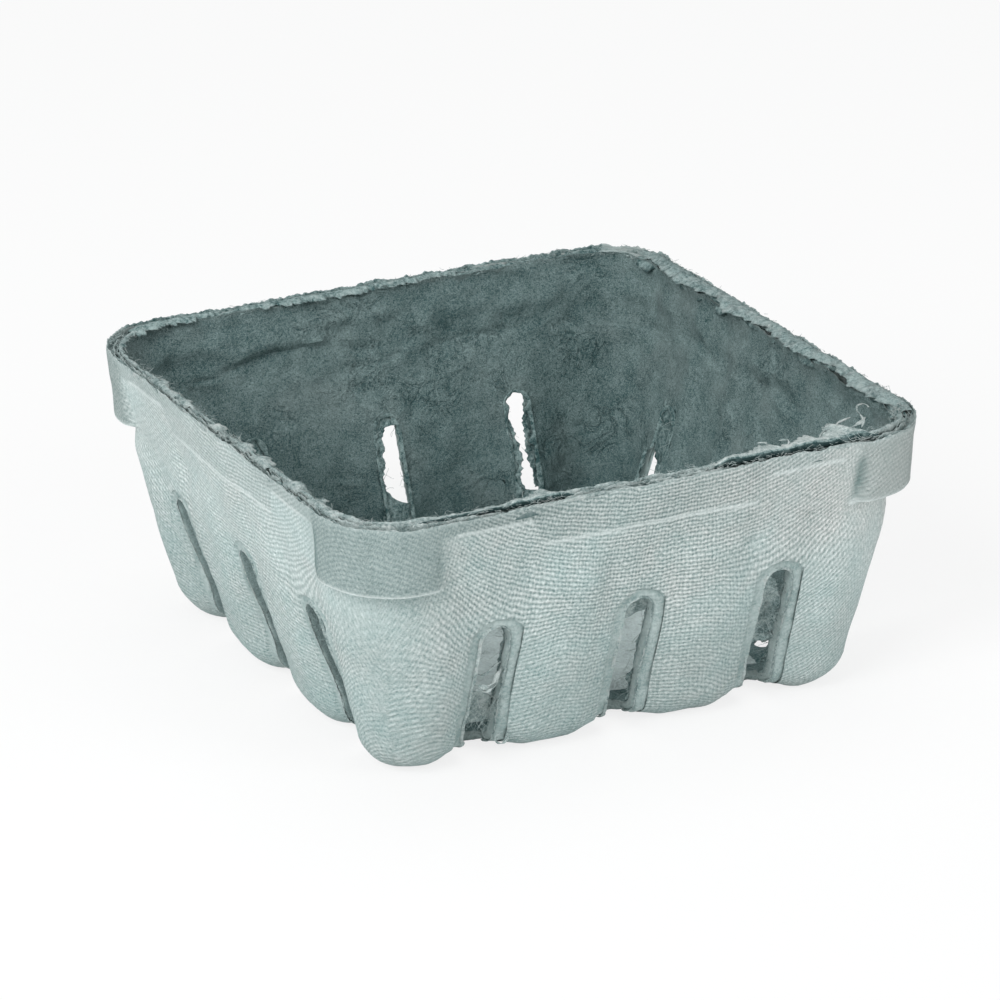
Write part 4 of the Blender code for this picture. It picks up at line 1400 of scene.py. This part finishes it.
def growHair(start, way, length, curl):
    thickness = chance.uniform(fibre["thin"], fibre["thick"])
    point, way = Vector(start), Vector(way).normalized()
    twist = Vector([chance.gauss(0, 1) for _ in range(3)]).normalized() * curl
    steps = max(4, int(length / fibre["step"]))
    points = []
    for step in range(steps):
        points.append((point.copy(), thickness * (1 - .6 * step / steps)))
        way = (way + twist + Vector([chance.gauss(0, fibre["sway"]) for _ in range(3)])).normalized()
        point = point + way * fibre["step"]
        point.z = min(max(point.z, fibre["lowest"]), fibre["highest"])
    hairs.append(points)


def spotAndFrame(across, down, side, skin):     # with the ways along the wall, down it and into the basket
    little = .5 * mm
    acrosses = np.array([across, across + little, across, across])
    downs = np.array([down, down, down + little, down])
    skins = np.array([skin, skin, skin, skin + .5])
    laid = layStrip(acrosses, downs, walls[side], skins)
    base = Vector(laid[0])
    beside, below = (Vector(spot - laid[0]).normalized() for spot in laid[1:3])
    return base, beside, below, (Vector(laid[3]) - base).normalized()


# wall, from, to, how many, length in mm
rimHairs = [
    ("front", -58, 58, 520, .7), ("left", -58, 58, 420, .7), ("right", -58, 58, 520, .9),
    ("back", -58, 58, 220, .6), ("front", -58, 58, 150, 1.5), ("left", -58, 58, 140, 1.3),
    ("right", -58, 58, 200, 1.8), ("back", -58, 58, 110, 1.1), ("front", -31, -19, 60, 2.4),
    ("front", 14, 46, 90, 2.2), ("front", 40, 46, 30, 3.2), ("right", -60, -40, 50, 2.4),
    ("right", 20, 50, 60, 2.2), ("left", 3, 21, 40, 1.8), ("left", 39, 51, 30, 1.8),
]
for side, low, high, count, length in rimHairs:
    for _ in range(count):
        base, beside, below, inward = spotAndFrame(
            chance.uniform(low, high) * mm, chance.uniform(-.7, .5) * mm, side, chance.uniform(.05, 1.5)
        )
        way = beside * chance.gauss(0, 1.3) + inward * chance.uniform(-.2, .9) - below * chance.uniform(-.3, .3)
        growHair(base, way, length * chance.uniform(.6, 1.7) * mm, chance.uniform(0, .35))

for side in walls:
    for slot in (-1, 0, 1):
        for _ in range(44 if side == "front" else 26):
            edge = chance.choice((-1, 1))
            drop = chance.uniform(28, 62) * mm
            base, beside, below, inward = spotAndFrame(
                slot * basket["slotPitch"] + edge * 2.9 * mm, drop, side, chance.uniform(.5, 1.2)
            )
            way = beside * -edge * chance.uniform(.2, 1) + below * chance.gauss(.3, .8)
            way += inward * chance.uniform(-.2, .5)
            growHair(base, way, chance.uniform(1.5, 4.5) * mm, chance.uniform(0, .3))

for _ in range(46):     # hairs hanging in the foot of the first front slot
    start = (chance.uniform(-33.4, -27) * mm, chance.uniform(-51.6, -50) * mm, chance.uniform(9, 14.5) * mm)
    growHair(start, (chance.gauss(0, .35), .15, -1), chance.uniform(3, 8) * mm, .08)
for _ in range(60):     # the web across the third front slot
    start = (chance.uniform(27.6, 31) * mm, chance.uniform(-53.6, -52.4) * mm, chance.uniform(18, 28) * mm)
    growHair(start, (1, chance.gauss(.1, .15), chance.gauss(-.75, .4)), chance.uniform(3.5, 7.5) * mm, .1)

selectOnly()
bpy.ops.curve.primitive_bezier_curve_add()
fibres = bpy.context.object
fibres.data.splines.clear()
fibres.data.dimensions = '3D'
fibres.data.bevel_depth = 1
fibres.data.bevel_resolution = 0
fibres.data.use_fill_caps = True
for points in hairs:
    strand = fibres.data.splines.new('POLY')
    strand.points.add(len(points) - 1)
    for spot, (point, radius) in zip(strand.points, points):
        spot.co = (*point, 1)
        spot.radius = radius
selectOnly(fibres)
fibres.location = (0, 0, 0)
bpy.ops.object.convert(target='MESH')
fibres = bpy.context.object
weld(fibres, fibre["weld"])
bpy.ops.object.shade_smooth()
attributeOf(fibres, "pale", np.array(fibre["pale"])[(places(fibres)[:, 2] > fibre["paleFrom"]).astype(int)])
finishTorn([fibres], "pulpFibres")

# Stage: a pale floor, a white surround and soft lamps
stage = {
    "floor": 3.0,
    "floorColour": (.86, .87, .87, 1),
    "white": .8,
    "world": .42,
    "aim": (0, 0, .02),
    "lamps": [      # name, place, size, power
        ("softKey", (-.95, -.5, .8), .7, 12.5),
        ("softFill", (.6, -1.0, .6), .6, 4.1),
        ("softTop", (.1, .3, 1.3), .9, 4),
    ],
}
photoView = {
    "place": (-.43789, -.86135, .41452),
    "turn": (68.343, .388, -27.011),
    "data": {
        "sensor_width": 36, "lens": 187.42, "shift_x": .00318, "shift_y": .00115, "clip_start": .01, "clip_end": 20,
    },
}


def addFloor():
    selectOnly()
    bpy.ops.mesh.primitive_grid_add(x_subdivisions=8, y_subdivisions=8, size=stage["floor"])
    floor = bpy.context.object
    floor.name = "paleFloor"
    floor.data.materials.append(startNodes(bpy.data.materials.new("paleFloor")))
    plain = Strand.node("ShaderNodeBsdfDiffuse", None, {"Color": stage["floorColour"]})
    white = Strand.node("ShaderNodeEmission", None, {"Color": (1, 1, 1, 1), "Strength": 1.0})
    seen = Strand.node("ShaderNodeLightPath") * stage["white"]
    shader = Strand.node("ShaderNodeMixShader", None, {0: seen, 1: plain, 2: white})
    Strand.node("ShaderNodeOutputMaterial", None, {0: shader})


def addLamp(name, place, size, power):
    lamp = bpy.data.lights.new(name, 'AREA')
    lamp.size = size
    lamp.energy = power
    thing = bpy.data.objects.new(name, lamp)
    thing.location = place
    thing.rotation_euler = (Vector(stage["aim"]) - Vector(place)).to_track_quat('-Z', 'Y').to_euler()
    bpy.context.scene.collection.objects.link(thing)


def addWorld():
    bpy.context.scene.world = startNodes(bpy.data.worlds.new("softSurround"))
    strength = Strand.node("ShaderNodeLightPath") * (1 - stage["world"]) + stage["world"]
    surround = Strand.node("ShaderNodeBackground", None, {"Color": (1, 1, 1, 1), "Strength": strength})
    Strand.node("ShaderNodeOutputWorld", None, {0: surround})


def addCamera():
    camera = bpy.data.cameras.new("photoCamera")
    for name, value in photoView["data"].items():
        setattr(camera, name, value)
    thing = bpy.data.objects.new("photoCamera", camera)
    thing.location = photoView["place"]
    thing.rotation_euler = [math.radians(angle) for angle in photoView["turn"]]
    bpy.context.scene.collection.objects.link(thing)
    bpy.context.scene.camera = thing


addFloor()
addWorld()
for lamp in stage["lamps"]:
    addLamp(*lamp)
addCamera()
bpy.context.scene.view_settings.view_transform = 'Standard'
print("stage ready")
